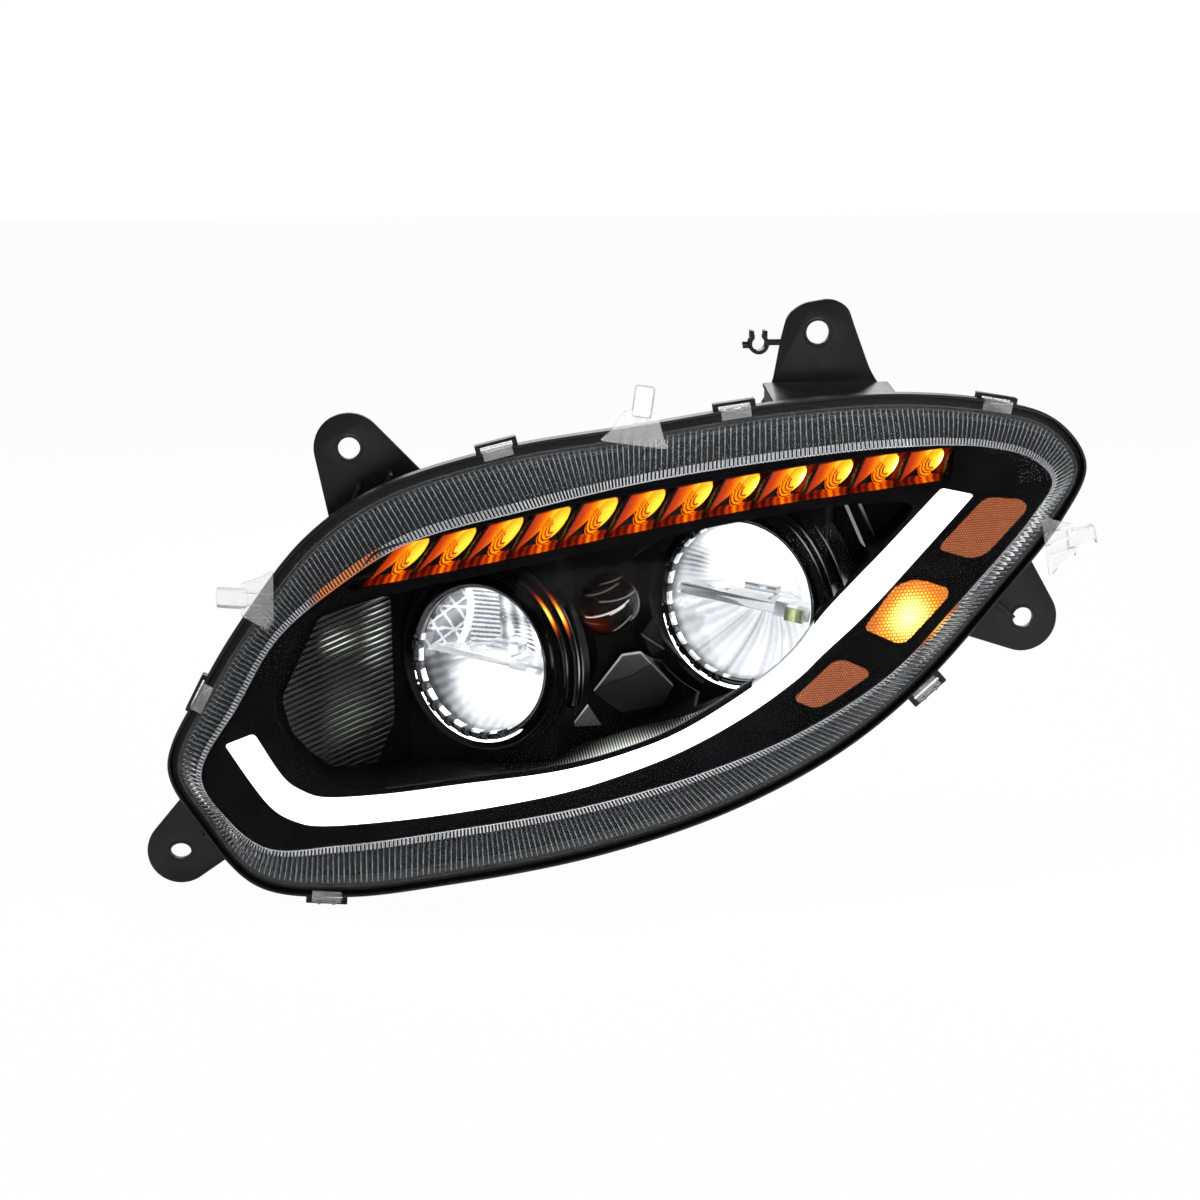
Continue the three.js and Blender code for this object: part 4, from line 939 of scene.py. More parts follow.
def cable_hook():
    """The small open hook beside the top tab that holds the harness."""
    arm = box(14, 4, 5, 124, -3, 239, 0.5)
    loop = soften(turned([(5.5, -9), (8.5, -9), (8.5, 3), (5.5, 3)], 48), 0.5)
    hook = cut(move(loop, 112, 0, 238), box(7, 20, 12, 112, -3, 246))
    lips = [box(3, 12, 6, 106.5 + 11 * k, -3, 246, 0.5) for k in range(2)]
    teeth = [box(5, 3, 3, 101.5, -6 + 4.5 * k, 236 + 2 * k, 0.4) for k in range(2)]
    return join(arm, hook, *lips, *teeth)


def on_rim(made, x, z, turn):
    return move(move(made, turn=turn), x, float(FLANGE_Y + wrap(x)), z)


def snap_loop(x, z, turn):
    bridge = box(SNAP_WIDTH + 8, 10, 13, 0, 7, 2, 0.7)
    return on_rim(cut(bridge, box(SNAP_WIDTH, 14, 5, 0, 7, 3.5)), x, z, turn)


def pod(place):
    front, r, rear = REAR_Y - 1, place["radius"], place["rear"]
    bend = [(r - 4 + 4 * math.cos(a), rear - 4 + 4 * math.sin(a)) for a in np.linspace(0.2, 1.4, 6)]
    lip = [(48, rear), (48, rear - 0.2)]
    body = turned([(0, front), (r, front), (r, rear - 6), *bend, (r - 6, rear), *lip, (0, rear - 0.2)], 128)
    middle = (rear + front) / 2 - 1
    ribs = [move(box(2.6, rear - front, 5, 0, middle, r + 1.2, 0.5), turn=30 * k) for k in range(12)]
    return move(join(body, *ribs), place["x"], 0, place["z"])


def pod_cavity(place):
    inside, rear = place["radius"] - SHELL_WALL, place["rear"]
    profile = [(0, -10), (inside, -10), (inside, rear - 16), (inside - 4, rear - 4), (0, rear - 4)]
    space = join(turned(profile, 96), rod(CAP_OPENING, 0, rear + 5))
    return move(space, place["x"], 0, place["z"])


def build_housing():
    snap_loops = [snap_loop(*place) for place in SNAPS]
    outside = join(*build_tabs(), tab_shelf(), *tab_webs(), cable_hook(), *snap_loops)
    body = join(build_housing_shell(), cut(outside, core_of_housing()), pod(HIGH_POD), pod(LOW_POD))
    for x, z, slope in STIFFENERS:
        join(body, move(box(60, 7, 3, 0, REAR_Y + 2.5, 0, 0.6), x, 0, z, slope))
    holes = [rod(radius, 0, 30, x, z) for x, z, radius in REAR_HOLES]
    cut(body, pod_cavity(HIGH_POD), pod_cavity(LOW_POD), *holes)
    finish_piece(body, "housing_shell", "lamp_body", HOUSING_BLACK, "black_plastic", "housing", angle=35)


def build_seal():
    corners = [(3, 7.5), (4, 7.0), (14, 7.0), (15, 7.5), (15, 10.6), (3, 10.6)]
    seal = loft("seal", by_depth(SHELL_STEPS, corners))
    finish_piece(seal, "rubber_lens_seal", "lamp_body", RUBBER, "black_rubber", "lens_seal")


def build_snap_tongues():
    """Clear tongues that show in the snap loops round the rim."""
    for i, (x, z, turn) in enumerate(SNAPS):
        tongue = box(SNAP_WIDTH - 2, 7, 2.2, 0, -1.5, 4.2, 0.5)
        hooks = [box(3, 9, 3.6, side * 6, -1.5, 4.8, 0.5) for side in (-1, 1)]
        foot = box(SNAP_WIDTH - 2, 2.0, 9, 0, -4.4, 0.2, 0.5)
        piece = on_rim(join(tongue, foot, *hooks), x, z, turn)
        finish_piece(piece, f"lens_snap_{i + 1}", "lamp_body", GATE_CLEAR, "clear_lens")


# ---------------------------------------------------------------- patches between two edges


def patch(name, lower, upper, rows, front, back, glow):
    """A strip between two edges of as many points: front(u, v) is its depth, and glow(u, v) its light."""
    low, high = np.array(lower), np.array(upper)
    u, v = np.meshgrid(np.linspace(0, 1, len(low)), np.linspace(0, 1, rows), indexing="ij")
    flat = low[:, None, :] * (1 - v[..., None]) + high[:, None, :] * v[..., None]
    bend = FLANGE_Y + wrap(flat[..., 0])
    face = np.stack([flat[..., 0], bend + front(u, v), flat[..., 1]], -1)
    made = slab_between(name, face, np.stack([flat[..., 0], bend + back, flat[..., 1]], -1))
    return paint_front(made, "glow", glow(u, v))


# ---------------------------------------------------------------- light guide

GUIDE_COLUMNS = 260
GUIDE_ROWS = 14
GUIDE_LENGTH = 760.0
GUIDE_WIDTH = 27.0
GUIDE_EDGE = 3.2
GUIDE_DOME = 3.5
GUIDE_REAR = -15


def guide_ends(u, v):
    """1 inside the guide, falling to 0 within a few millimetres of its edges."""
    across = np.minimum(v, 1 - v) * GUIDE_WIDTH
    along = np.minimum(u, 1 - u) * GUIDE_LENGTH
    return step_up(np.minimum(across, along), 0, GUIDE_EDGE)


def guide_front(u, v):
    return SKIN_DEPTH + 1 - GUIDE_DOME * guide_ends(u, v)


def guide_glow(u, v):
    return 0.6 + 0.4 * guide_ends(u, v)


def build_guide():
    inner = smooth_path(GUIDE_INNER, GUIDE_COLUMNS)
    outer = smooth_path(GUIDE_OUTER, GUIDE_COLUMNS)
    made = patch("guide", outer, inner, GUIDE_ROWS, guide_front, GUIDE_REAR, guide_glow)
    finish_piece(made, "light_guide_bar", "lamp_body", GUIDE_LIT, "light_guide", "drl_light_guide", angle=60)


# ---------------------------------------------------------------- turn signal strip

CELL_COLUMNS = 56
STRIP_ROWS = 40
STRIP_START = 0.03
STRIP_SPAN = 0.965
CELL_SIZE = (39.0, 26.0)
BULB_PLACE = (0.68, 0.59)  # in shares of a cell
BULB_RADII = (8.2, 9.6)
BULB_TURN = math.radians(18)
RIBS_TURN = math.radians(218)  # the ribs curl round the lower left of each bulb
RIB_PITCH = 0.24


def cell_place(u, v):
    """Which cell a place in the strip is in, and the place inside it, 0 to 1 each way. Cells lean right."""
    along = (u - STRIP_START) / STRIP_SPAN * CELL_COUNT - 0.16 * (v - 0.5)
    index = np.clip(np.floor(along), 0, CELL_COUNT - 1)
    return index, along - index, v


def bulb_shape(a, b):
    """Distance from a cell's bulb centre in its own size (1 is its edge), and the angle round it."""
    x, z = (a - BULB_PLACE[0]) * CELL_SIZE[0], (b - BULB_PLACE[1]) * CELL_SIZE[1]
    p = x * math.cos(BULB_TURN) - z * math.sin(BULB_TURN)
    q = x * math.sin(BULB_TURN) + z * math.cos(BULB_TURN)
    return np.hypot(p / BULB_RADII[0], q / BULB_RADII[1]), np.arctan2(z, x)


def rib_wave(away):
    """Ribs that curl round a bulb, 1 on a crest and 0 in a groove."""
    return 0.5 + 0.5 * np.cos((away - 1.0) * 2 * math.pi / RIB_PITCH)


def cell_glow(u, v):
    """A cell's lit sheet on the left, the lit floor under it, its bulb with ribs, and dark dividers."""
    index, a, b = cell_place(u, v)
    away, angle = bulb_shape(a, b)
    tilt = b - 0.04 - 1.28 * (a - 0.08)
    sheet = step_up(a, 0.02, 0.10) * step_up(tilt, 0.0, 0.05) * step_up(0.97 - b, 0, 0.04)
    sheet *= 0.34 + 0.34 * step_up(a, 0.10, 0.55) + 0.06 * b
    sheet *= step_up(0.80 - a, 0, 0.1)
    flame = 0.34 * np.exp(-(((a - 0.66) / 0.2) ** 2))
    floor = step_up(0.20 - b, 0, 0.05) * step_up(a, 0.0, 0.04) * (0.27 + flame) * (0.8 + 0.2 * np.cos(a * 40))
    glow = np.maximum(sheet, floor)
    lower_left = np.cos(angle - RIBS_TURN)
    core = 0.68 + 0.06 * step_up(1 - away, 0, 0.7) + 0.36 * (a - 0.62)
    hot = step_up(index, 4, 9) * (0.7 + 0.3 * np.cos(index * 2.4))
    core += 0.34 * hot * np.exp(-(((a - 0.84) / 0.08) ** 2) - (((b - 0.62) / 0.22) ** 2))
    ribbed = (away > 0.42) & (away < 1.34) & (lower_left > 0.42)
    core = np.where(ribbed, 0.66 - 0.52 * step_up(rib_wave(away), 0.68, 0.95), core)
    glow = np.where((away < 1.0) | ribbed, core, glow)
    dark = (a > 0.95) | (a < 0.015) | (b > 0.985)
    spill = 0.34 * hot * np.exp(-(((a - 0.92) / 0.1) ** 2))
    return np.clip(np.where(dark, spill * 0.6, np.maximum(glow, spill * (b > 0.2))), 0, 1)


def cell_depth(u, v):
    """Depth of the same features from the flange: the foremost of them shows."""
    _, a, b = cell_place(u, v)
    away, angle = bulb_shape(a, b)
    floor = -8 - 5 * step_up(0.2 - b, 0, 0.2)
    sheet = -9 - 8 * step_up(b - 0.04 - 1.28 * (a - 0.08), 0, 0.1) * step_up(0.8 - a, 0, 0.6)
    bulb = -10 - 9 * np.sqrt(np.clip(1 - away**2, 0, 1))
    ribbed = (away > 0.94) & (away < 1.34) & (np.cos(angle - RIBS_TURN) > 0.42)
    ribs = -10 - 4.5 * ribbed * (1 - rib_wave(away)) * np.clip(2.0 - away, 0, 1)
    divider = -20 * step_up(np.maximum(a - 0.93, 0.03 - a), 0, 0.03)
    divider = np.where((a > 0.97) | (a < 0.0), -20 + 2.0 * np.cos((b * 3) * math.pi), divider)
    frame = -21.5 * step_up(np.maximum(b - 0.95, 0.05 - b), 0, 0.03)
    return np.minimum.reduce([floor, sheet, bulb, ribs, divider, frame])


def build_strip():
    columns = CELL_COUNT * CELL_COLUMNS
    lower = smooth_path(STRIP_LOWER, columns)
    upper = smooth_path(STRIP_UPPER, columns)
    made = patch("strip", lower, upper, STRIP_ROWS, cell_depth, -3, cell_glow)
    node = "turn_signal_reflector"
    finish_piece(made, "turn_signal_cells", "lamp_body", CELL_LIT, "smoked_chrome", node, angle=40)


# ---------------------------------------------------------------- side marker and reflexes


REFLEX_PRISM = 2.2
MARKER_PRISM = 3.2
ROW_STEP = 0.866  # of the rows of a honeycomb, in cells


def prism_cells(x, z, size):
    """Height from 0 to 1 of a honeycomb of little pyramids."""
    p, q = x / size, z / size
    row = np.round(q / ROW_STEP)
    shift = 0.5 * (row % 2)
    sideways = np.abs(p - shift - np.round(p - shift))
    upwards = np.abs(q - row * ROW_STEP) / ROW_STEP
    return 1 - np.clip(2.0 * np.maximum(sideways, upwards), 0, 1)


def reflex_front(x, z):
    return SKIN_DEPTH - 1.0 - 1.1 * prism_cells(x, z, REFLEX_PRISM)


def build_reflexes():
    for name, outline in (("upper", REFLEX_TOP), ("lower", REFLEX_LOW)):
        made = relief(outline, reflex_front, SKIN_DEPTH + 4, 0.4, "reflex")
        # Painted light and shade on the reflex prisms: lit crests, shaded grooves.
        paint(made, "glow", lambda x, y, z: prism_cells(x, z, REFLEX_PRISM))
        node = f"reflex_reflector_{name}"
        finish_piece(made, f"{name}_reflex_lens", "lamp_body", REFLEX, "reflex_amber", node, angle=12)


def marker_glow(x, y, z):
    """Hot in the middle of the marker, orange towards its two ends, with fine prisms through it."""
    along = (x - 225) * 0.62 + (z - 30) * 0.78
    across = -(x - 225) * 0.78 + (z - 30) * 0.62
    hot = np.exp(-(((along + 2) / 20) ** 2) - ((across + 4) / 16) ** 2)
    ends = 0.20 * step_up(along, 4, 30) + 0.12 * step_up(-along, 12, 30) + 0.2 * step_up(across, 8, 20)
    grooves = step_up(1 - prism_cells(x, z, MARKER_PRISM), 0.35, 1)
    return np.clip(0.80 - ends + 0.5 * hot - 0.42 * grooves, 0, 1)


def marker_front(x, z):
    return SKIN_DEPTH - 1.2 - 1.2 * prism_cells(x, z, MARKER_PRISM)


def build_marker():
    made = relief(MARKER, marker_front, SKIN_DEPTH + 5, 0.5, "marker")
    paint(made, "glow", marker_glow)
    node = "side_marker_lens"
    finish_piece(made, "side_marker_prisms", "lamp_body", MARKER_LIT, "amber_lens", node, angle=12)


# ---------------------------------------------------------------- inner bezel

BEZEL_STEPS = 480
DOME_RADIUS = 26.0
PANEL_RIBS = 38
PANEL_PITCH = 5.0
PANEL_TOP = 72.0
PANEL_SLOPE = 17.0


def bezel_profile(into):
    rows = [
        dict(inset=18.8 + into, depth=3), dict(inset=18.8 + into, depth=-1),
        dict(share=0.8, inset=7 + into, depth=SKIN_DEPTH + 6 + into * 0.8),
        dict(share=0.95, inset=4.6 + into * 0.8, depth=SKIN_DEPTH + 1.2 + into * 0.9),
        dict(share=1.0, inset=3.5 + into * 0.7, depth=SKIN_DEPTH + into),
    ]
    return rows + [dict(share=1.0, shrink=k, depth=SKIN_DEPTH + into) for k in (0.94, 0.8, 0.6, 0.35, 0.15)]


def recess_space(wall):
    """What lies in front of the recess's floor, moved back by a wall."""
    floor = [(x, y + wall) for x, y in RECESS_FLOOR]
    return tower([(-310, -160), *floor, (250, -160)], -200, 200, "recess")


def shroud(bowl):
    """Stepped funnel round a bowl's opening."""
    r = bowl["radius"]
    steps = [(r + 7.4, 8), (r + 7.4, -9), (r + 8, -10), (r + 9, -10), (r + 9, -7), (r + 11, -7)]
    steps += [(r + 11, -3.5), (r + 14, -3.5), (r + 14, 0), (r + 17, 0), (r + 17, 4), (r + 13, 8)]
    return along_beam(turned(steps, 144), bowl)


def build_bezel():
    top = FLANGE_Y + SKIN_DEPTH
    outer = [ring(BEZEL_STEPS, **place) for place in bezel_profile(0)]
    inner = [ring(BEZEL_STEPS, **place) for place in bezel_profile(SKIN_WALL)]
    skin = loft("bezel", outer[::-1] + inner, top, top + SKIN_WALL)
    tub = meet(prism(grown(SMOOTH_RECESS, 1.6), -110, 40), recess_space(SKIN_WALL))
    meet(tub, wrapped_slab(SKIN_DEPTH + 1, 150))
    opening = meet(prism(SMOOTH_RECESS, -200, 40), recess_space(0))
    posts = [cut(rod(5, -60, REAR_Y - 2.9, x, z), rod(2.5, -20, 40, x, z)) for x, z in BEZEL_SCREWS]
    body = cut(join(skin, tub, *posts), opening)
    framed = (STRIP, MARKER, REFLEX_TOP, REFLEX_LOW)
    for outline in framed:
        frame_ring = cut(prism(grown(outline, 2.4), -200, 60), prism(grown(outline, 0.8), -210, 70))
        join(body, meet(frame_ring, wrapped_slab(SKIN_DEPTH - 1.3, SKIN_DEPTH + 1)))
    for outline in (GUIDE, *framed):
        cut(body, wrapped(grown(outline, 0.4), -40, 2))
    for bowl in (HIGH_BEAM, LOW_BEAM):
        cut(body, along_beam(rod(bowl["radius"] + 8.4, -60, 60, sides=96), bowl))
    for bowl in (HIGH_BEAM, LOW_BEAM):
        join(body, meet(shroud(bowl), prism(grown(SMOOTH_RECESS, 1.2), -112, 40)))
    cut(body, rod(DOME_RADIUS + 0.4, -70, 0, CENTRE_LAMP["x"], CENTRE_LAMP["z"], 96))
    finish_piece(body, "inner_bezel", "lamp_body", BEZEL_BLACK, "gloss_black_plastic", "bezel", angle=30)


def panel_glint(x, y, z):
    """Light caught by the ribs of the side panel: near its top, and down its right edge."""
    line = (z - PANEL_TOP - (x + 240) * math.tan(math.radians(PANEL_SLOPE))) / PANEL_PITCH
    crest = step_up(np.cos(2 * math.pi * line), 0.45, 0.95)
    top = np.exp(-(((x + 236) / 14) ** 2) - ((z - 2) / 9) ** 2)
    edge = np.exp(-(((x + 204) / 9) ** 2) - ((z - 6) / 24) ** 2)
    low = 0.3 * np.exp(-(((x + 225) / 26) ** 2) - ((z + 62) / 26) ** 2)
    return np.clip(crest * (0.32 + top + edge + low) * 0.95, 0, 1)


def build_fluted_panel():
    """The panel on the recess's left wall, with fine ribs that slope up to the right."""
    start, end = RECESS_FLOOR[:2]
    slope = (end[1] - start[1]) / (end[0] - start[0])

    def y(x):
        return start[1] + slope * (x - start[0]) - 0.4

    left, right = -300, -180
    made = tower([(left, y(left)), (right, y(right)), (right, y(right) - 2), (left, y(left) - 2)], -130, 60)
    section = [(-1.7, 0.8), (-1.3, 0), (0, -1.9), (1.3, 0), (1.7, 0.8)]
    for i in range(PANEL_RIBS):
        rib = extruded("rib", section, -75, 75, lambda a, b, c: (c, b, a))
        subdivide(rib, 40)
        move(rib, turn=-PANEL_SLOPE)
        move(rib, turn=math.degrees(math.atan(slope)), about="Z")
        join(made, move(rib, -240, y(-240) - 1.9, PANEL_TOP - PANEL_PITCH * i))
    meet(made, prism(rounded(FLUTED_PANEL, 6, 4), -120, 40))
    paint(made, "glow", panel_glint)
    node = "fluted_panel"
    finish_piece(made, "ribbed_side_panel", "lamp_body", PANEL_LIT, "gloss_black_plastic", node, angle=25)


# ---------------------------------------------------------------- bowls

BOWL_THROAT = 9.0
BOWL_SIDES = 288
BOWL_RINGS = 110
BOWL_WALL = 2.2
ARC_STEPS = 120
LIT_ARC_STEPS = 90
RING_WIDTH = 4.6
RING_TILES = {"high_beam": (165, 300, 8), "low_beam": (120, 262, 9)}  # (start, end, blocks)
LIT_ARCS = {"high_beam": (186, 306), "low_beam": (185, 290)}
LIT_ARC_GAP = 0.1
LIT_ARC_WIDTH = 3.0
BAR_TURN = {"high_beam": 4, "low_beam": 5}
BAR_SLIM = {"high_beam": 0.45, "low_beam": 1.0}
BAR_SHINE = {"high_beam": 0.60, "low_beam": 0.42}


def bowl_depth(r, radius):
    return BOWL_DEPTH * (1 - (r / radius) ** 2)


def facets(name, u, angle):
    """Ripples of a bowl's reflector in millimetres: broad radial panels below, louvres and vanes above."""
    below = np.sin(angle) < -0.05
    panels = 18 if name == "high_beam" else 22
    part = angle / (2 * math.pi) * panels
    radial = 0.5 * np.abs(part - np.round(part)) * 2 * u
    rings = 0.35 * np.cos(u * 26)
    louvres = 0.5 * np.cos(u * np.sin(angle) * 90)
    middle = np.abs(u * np.cos(angle) - 0.12) < 0.24
    return np.where(below, radial, np.where(middle, louvres, 0.7 * radial + rings))


def seen_place(x, z):
    """Where a place in a bowl appears from the front, in half widths and half heights of its mouth."""
    deep = 1 - x * x - z * z
    return x + 0.50 * deep, z + 0.13 * deep


def spot(across, up, middle, size):
    """A soft spot of light, 1 at its middle."""
    return np.exp(-(((across - middle[0]) / size[0]) ** 2) - ((up - middle[1]) / size[1]) ** 2)


def high_beam_glow(across, up, angle):
    """Bright below; above, a lattice, a bright column, louvres and pillars from left to right."""
    core = spot(across, up, (0.15, -0.35), (0.55, 0.45))
    lower = 0.50 + 0.62 * core - 0.22 * step_up(-across, 0.35, 0.8) + 0.05 * np.cos(angle * 0.7)
    louvre = 0.24 + 0.42 * (np.cos(up * 92) > -0.15)
    column = np.abs(across + 0.36 + 0.5 * (up - 0.75) ** 2 - 0.12) < 0.055
    webs = np.cos((across + 0.7 * up) * 22) > 0.86
    webs = webs | (np.cos((across - 1.4 * up) * 13) > 0.92) | (np.cos(up * 19) > 0.93)
    lattice = 0.27 + 0.12 * np.cos(across * 9 - up * 14) + 0.42 * webs
    pillars = 0.44 + 0.22 * np.cos(across * 30 + up * 3) + 0.14 * np.cos(up * 17)
    upper = np.where(across < -0.26, lattice, np.where(across < 0.22, louvre, pillars))
    upper = np.where(column, 0.92, upper)
    upper = np.maximum(upper, 0.95 * spot(across, up, (0.2, 0.08), (0.5, 0.09)))
    return np.where(up < 0.02, lower, upper)


def low_beam_glow(across, up, angle):
    """Bright above, with dark streaks on its left; radial panels with dark seams below."""
    core = spot(across, up, (0.12, 0.5), (0.62, 0.5))
    streaks = 0.6 + 0.4 * np.cos(angle * 1.4)
    upper = 0.55 + 0.7 * core - 0.5 * streaks * spot(across, up, (-0.62, 0.45), (0.22, 0.2))
    stripes = 0.60 + 0.05 * np.cos(angle * 0.62) + 0.05 * np.cos(angle * 0.23 + 1)
    seams = sum(np.exp(-(((angle - at) / width) ** 2)) for at, width in ((-104, 1.6), (-58, 1.3), (-132, 1.2)))
    lower = stripes + 0.10 * step_up(-up, 0.2, 0.7) - 0.2 * seams
    return np.where(up > 0.02, upper, lower)


def bowl_glow(name, x, z):
    """How brightly each place in a bowl shines, by its place across and up as shares of the radius."""
    edge = 1 - 0.4 * step_up(np.hypot(x, z), 0.94, 1.0)
    glow = high_beam_glow if name == "high_beam" else low_beam_glow
    return np.clip(glow(*seen_place(x, z), np.degrees(np.arctan2(z, x))) * edge, 0, 1)


def build_reflector(name, bowl):
    radius = bowl["radius"] - 5
    share = np.linspace(0, 1, BOWL_RINGS)
    angle = np.arange(BOWL_SIDES) / BOWL_SIDES * 2 * math.pi
    r, a = np.meshgrid(BOWL_THROAT + (radius - BOWL_THROAT) * share, angle, indexing="ij")
    flat = np.minimum(1, (1 - r / radius) * 12) * np.minimum(1, (r - BOWL_THROAT) / 6)
    inner_y = bowl_depth(r, radius) - flat * facets(name, r / radius, a)
    outer_y = bowl_depth(r, radius) + BOWL_WALL
    inner = np.stack([r * np.cos(a), inner_y, r * np.sin(a)], -1)
    outer = np.stack([(r + 1.0) * np.cos(a), outer_y, (r + 1.0) * np.sin(a)], -1)[::-1]
    made = loft(name, list(inner) + list(outer))

    def glow(x, y, z):
        in_front = y < bowl_depth(np.hypot(x, z), radius) + 1.0
        return bowl_glow(name, x / radius, z / radius) * in_front

    paint(made, "glow", glow)
    along_beam(made, bowl)
    finish_piece(made, f"{name}_bowl", "carrier", BOWL_LIT, "bowl_chrome", f"{name}_reflector", angle=14)


def around_axis(a, section):
    """Points (radius, y) turned by an angle about a bowl's own axis."""
    return [(r * math.cos(a), y, r * math.sin(a)) for r, y in section]


def arc_wall(name, radius, thick, front, back, start, end, taper=6.0):
    """A thin curved wall about a bowl's own axis, from start to end in degrees, narrowing at both ends."""
    angles = np.radians(np.linspace(start, end, ARC_STEPS))
    drop = taper * (1 - np.sin(math.pi * np.linspace(0, 1, ARC_STEPS)) ** 0.5)
    sections = []
    for a, d in zip(angles, drop):
        depths = [front + d, front + d + 1.2, front + d + 4, back]
        section = [(radius + thick, y) for y in depths] + [(radius, y) for y in depths[::-1]]
        sections.append(around_axis(a, section))
    return soften(swept(name, sections), 0.3, 1, 50)


def tile_glow(x, y, z):
    turn = np.arctan2(z, x)
    return 0.72 + 0.2 * np.sin(turn * 40) * np.cos(turn * 9)


def build_trim_ring(name, bowl):
    """Ring round a bowl's mouth: dark, with black blocks and bright tiles by turns down its inboard side."""
    outer = bowl["radius"]
    inside = outer - RING_WIDTH
    profile = [(inside, -6), (inside + 1.2, -7.6), (outer - 1.6, -7.6), (outer - 1.4, -9), (outer - 0.9, -9)]
    profile += [(outer - 0.5, -8), (outer, -5), (outer, 4), (outer - 1, 4), (outer - 1, -0.6), (inside, -0.6)]
    made = soften(turned(profile, 192), 0.25, 1, 40)
    along_beam(made, bowl)
    finish_piece(made, f"{name}_bowl_ring", "carrier", RING_BLACK, "bowl_chrome", f"{name}_trim_ring")
    first, last, count = RING_TILES[name]
    rim = arc_wall("tiles", inside - 1.6, 5.6, -7.2, -2.6, first, last, taper=2)
    paint(rim, "glow", tile_glow)
    along_beam(rim, bowl)
    finish_piece(rim, f"{name}_ring_tiles", "carrier", TILE_LIT, "bowl_chrome")
    blocks = arc_wall("blocks", inside + 3.2, 1.6, -8.2, -2.4, first - 8, last + 8, taper=2)
    for k in range(count):
        turn = -(first + (last - first) * (k + 0.5) / count - 90)
        join(blocks, move(box(7.6, 9.0, 6.4, 0, -6.5, inside + 1.4, 0.5), turn=turn))
        join(blocks, move(box(3.4, 7.6, 3.0, 6.6, -6.0, inside + 3.0, 0.3), turn=turn))
    along_beam(blocks, bowl)
    finish_piece(blocks, f"{name}_ring_blocks", "carrier", GLOSS_BLACK, "bowl_chrome")


def build_glow_arc(name, bowl):
    """The lit arc under each bowl, on the outside of its ring."""
    inside = bowl["radius"] + LIT_ARC_GAP
    start, end = np.radians(LIT_ARCS[name])
    sections = []
    for share in np.linspace(0, 1, LIT_ARC_STEPS):
        outside = inside + LIT_ARC_WIDTH * math.sin(math.pi * share) ** 0.5 + 0.3
        section = [(inside, -7.5), (outside, -6.5), (outside, -3.5), (inside, -3.5)]
        sections.append(around_axis(start + (end - start) * share, section))
    made = swept("arc", sections)
    paint(made, "glow", lambda x, y, z: 0.75 + 0.25 * np.cos(np.arctan2(z, x) * 2 - 1))
    along_beam(made, bowl)
    finish_piece(made, f"{name}_lit_arc", "carrier", GUIDE_LIT, "light_guide", angle=50)


def build_emitter(name, bowl):
    """Bright emitter window that closes a bowl's throat."""
    y = BOWL_DEPTH - 2
    made = turned([(0, y - 3), (5, y - 2.4), (8.6, y), (8.6, y + 2.4), (0, y + 2.4)], 64)
    paint(made, "glow", 0.9)
    along_beam(made, bowl)
    finish_piece(made, f"{name}_emitter", "carrier", GUIDE_LIT, "light_guide", angle=40)


def build_led_bar(name, bowl):
    """The bar across a bowl that carries its emitters: with a tongue, a middle block and four fins."""
    radius = bowl["radius"] - 6
    half = radius - 1.5

    def slim_bar(section, left, right, bevel):
        return soften(bar([(y, z * BAR_SLIM[name]) for y, z in section], left, right), bevel)

    section = [(2, -5.5), (9, -7), (41, -7), (41, 5), (12, 4.6), (4, 2.8)]
    made = slim_bar(section, -half, half, 0.6)
    tongue = slim_bar([(-1, -6.4), (12, -8), (12, 7), (2, 5.6)], half - 34, half - 3, 0.5)
    fins = [box(1.6, 14, 10, x, 16, 0, 0.3) for x in (-36, -20, 20, 30)]
    join(made, tongue, box(30, 10, 16, 0, 36, 0, 0.8), *fins)
    curve = [(0, -20), (radius - 1, -20)]
    reach = [(BOWL_THROAT + (radius - BOWL_THROAT) * k / 8) for k in range(8, -1, -1)]
    curve += [(r - 0.4, bowl_depth(r, radius + 1) - 3.0) for r in reach] + [(0, BOWL_DEPTH - 2)]
    meet(made, turned(curve, 96))
    move(made, turn=BAR_TURN[name])
    subdivide(made, 2)
    paint(made, "glow", lambda x, y, z: BAR_SHINE[name] + 0.14 * np.sin(x * 0.35 + z) + 0.12 * np.cos(z * 1.3))
    along_beam(made, bowl)
    finish_piece(made, f"{name}_emitter_bar", "carrier", BOWL_LIT, "bowl_chrome", f"{name}_led_bar")


def build_side_emitter(name, bowl):
    """The small slotted lamp at the right end of a bowl's bar."""
    half = bowl["radius"] - 7.5
    lamp = soften(box(17, 4, 11, half - 15, 0.2, -3), 0.8)
    for x in (half - 20, half - 14, half - 8):
        cut(lamp, box(1.2, 3, 20, x, -2.4, 0))
    paint(lamp, "glow", lambda x, y, z: 0.45 + 0.3 * np.cos(x * 0.5 + z * 0.6))
    move(lamp, turn=BAR_TURN[name])
    along_beam(lamp, bowl)
    finish_piece(lamp, f"{name}_side_emitter", "carrier", EMITTER_LIT, "light_guide")


# ---------------------------------------------------------------- trim between the bowls


def within_recess(made):
    return meet(made, prism(grown(SMOOTH_RECESS, -0.6), -112, 40))


BLADES = [(79, -8, -10, 66), (87, -4, -20, 70)]  # (radius, front, start, end)
TRIM_ARCS = [  # (bowl, radius, front, start, end, how bright its edge is)
    (HIGH_BEAM, 82.4, -7, -16, 42, 0.5), (HIGH_BEAM, 90.4, -2, -24, 50, 0.7), (HIGH_BEAM, 93, 0, -20, 34, 0.5),
    (LOW_BEAM, 88, -22, 6, 64, 0.6), (LOW_BEAM, 95, -24, 4, 60, 0.6), (LOW_BEAM, 103, -18, 6, 56, 0.5),
]


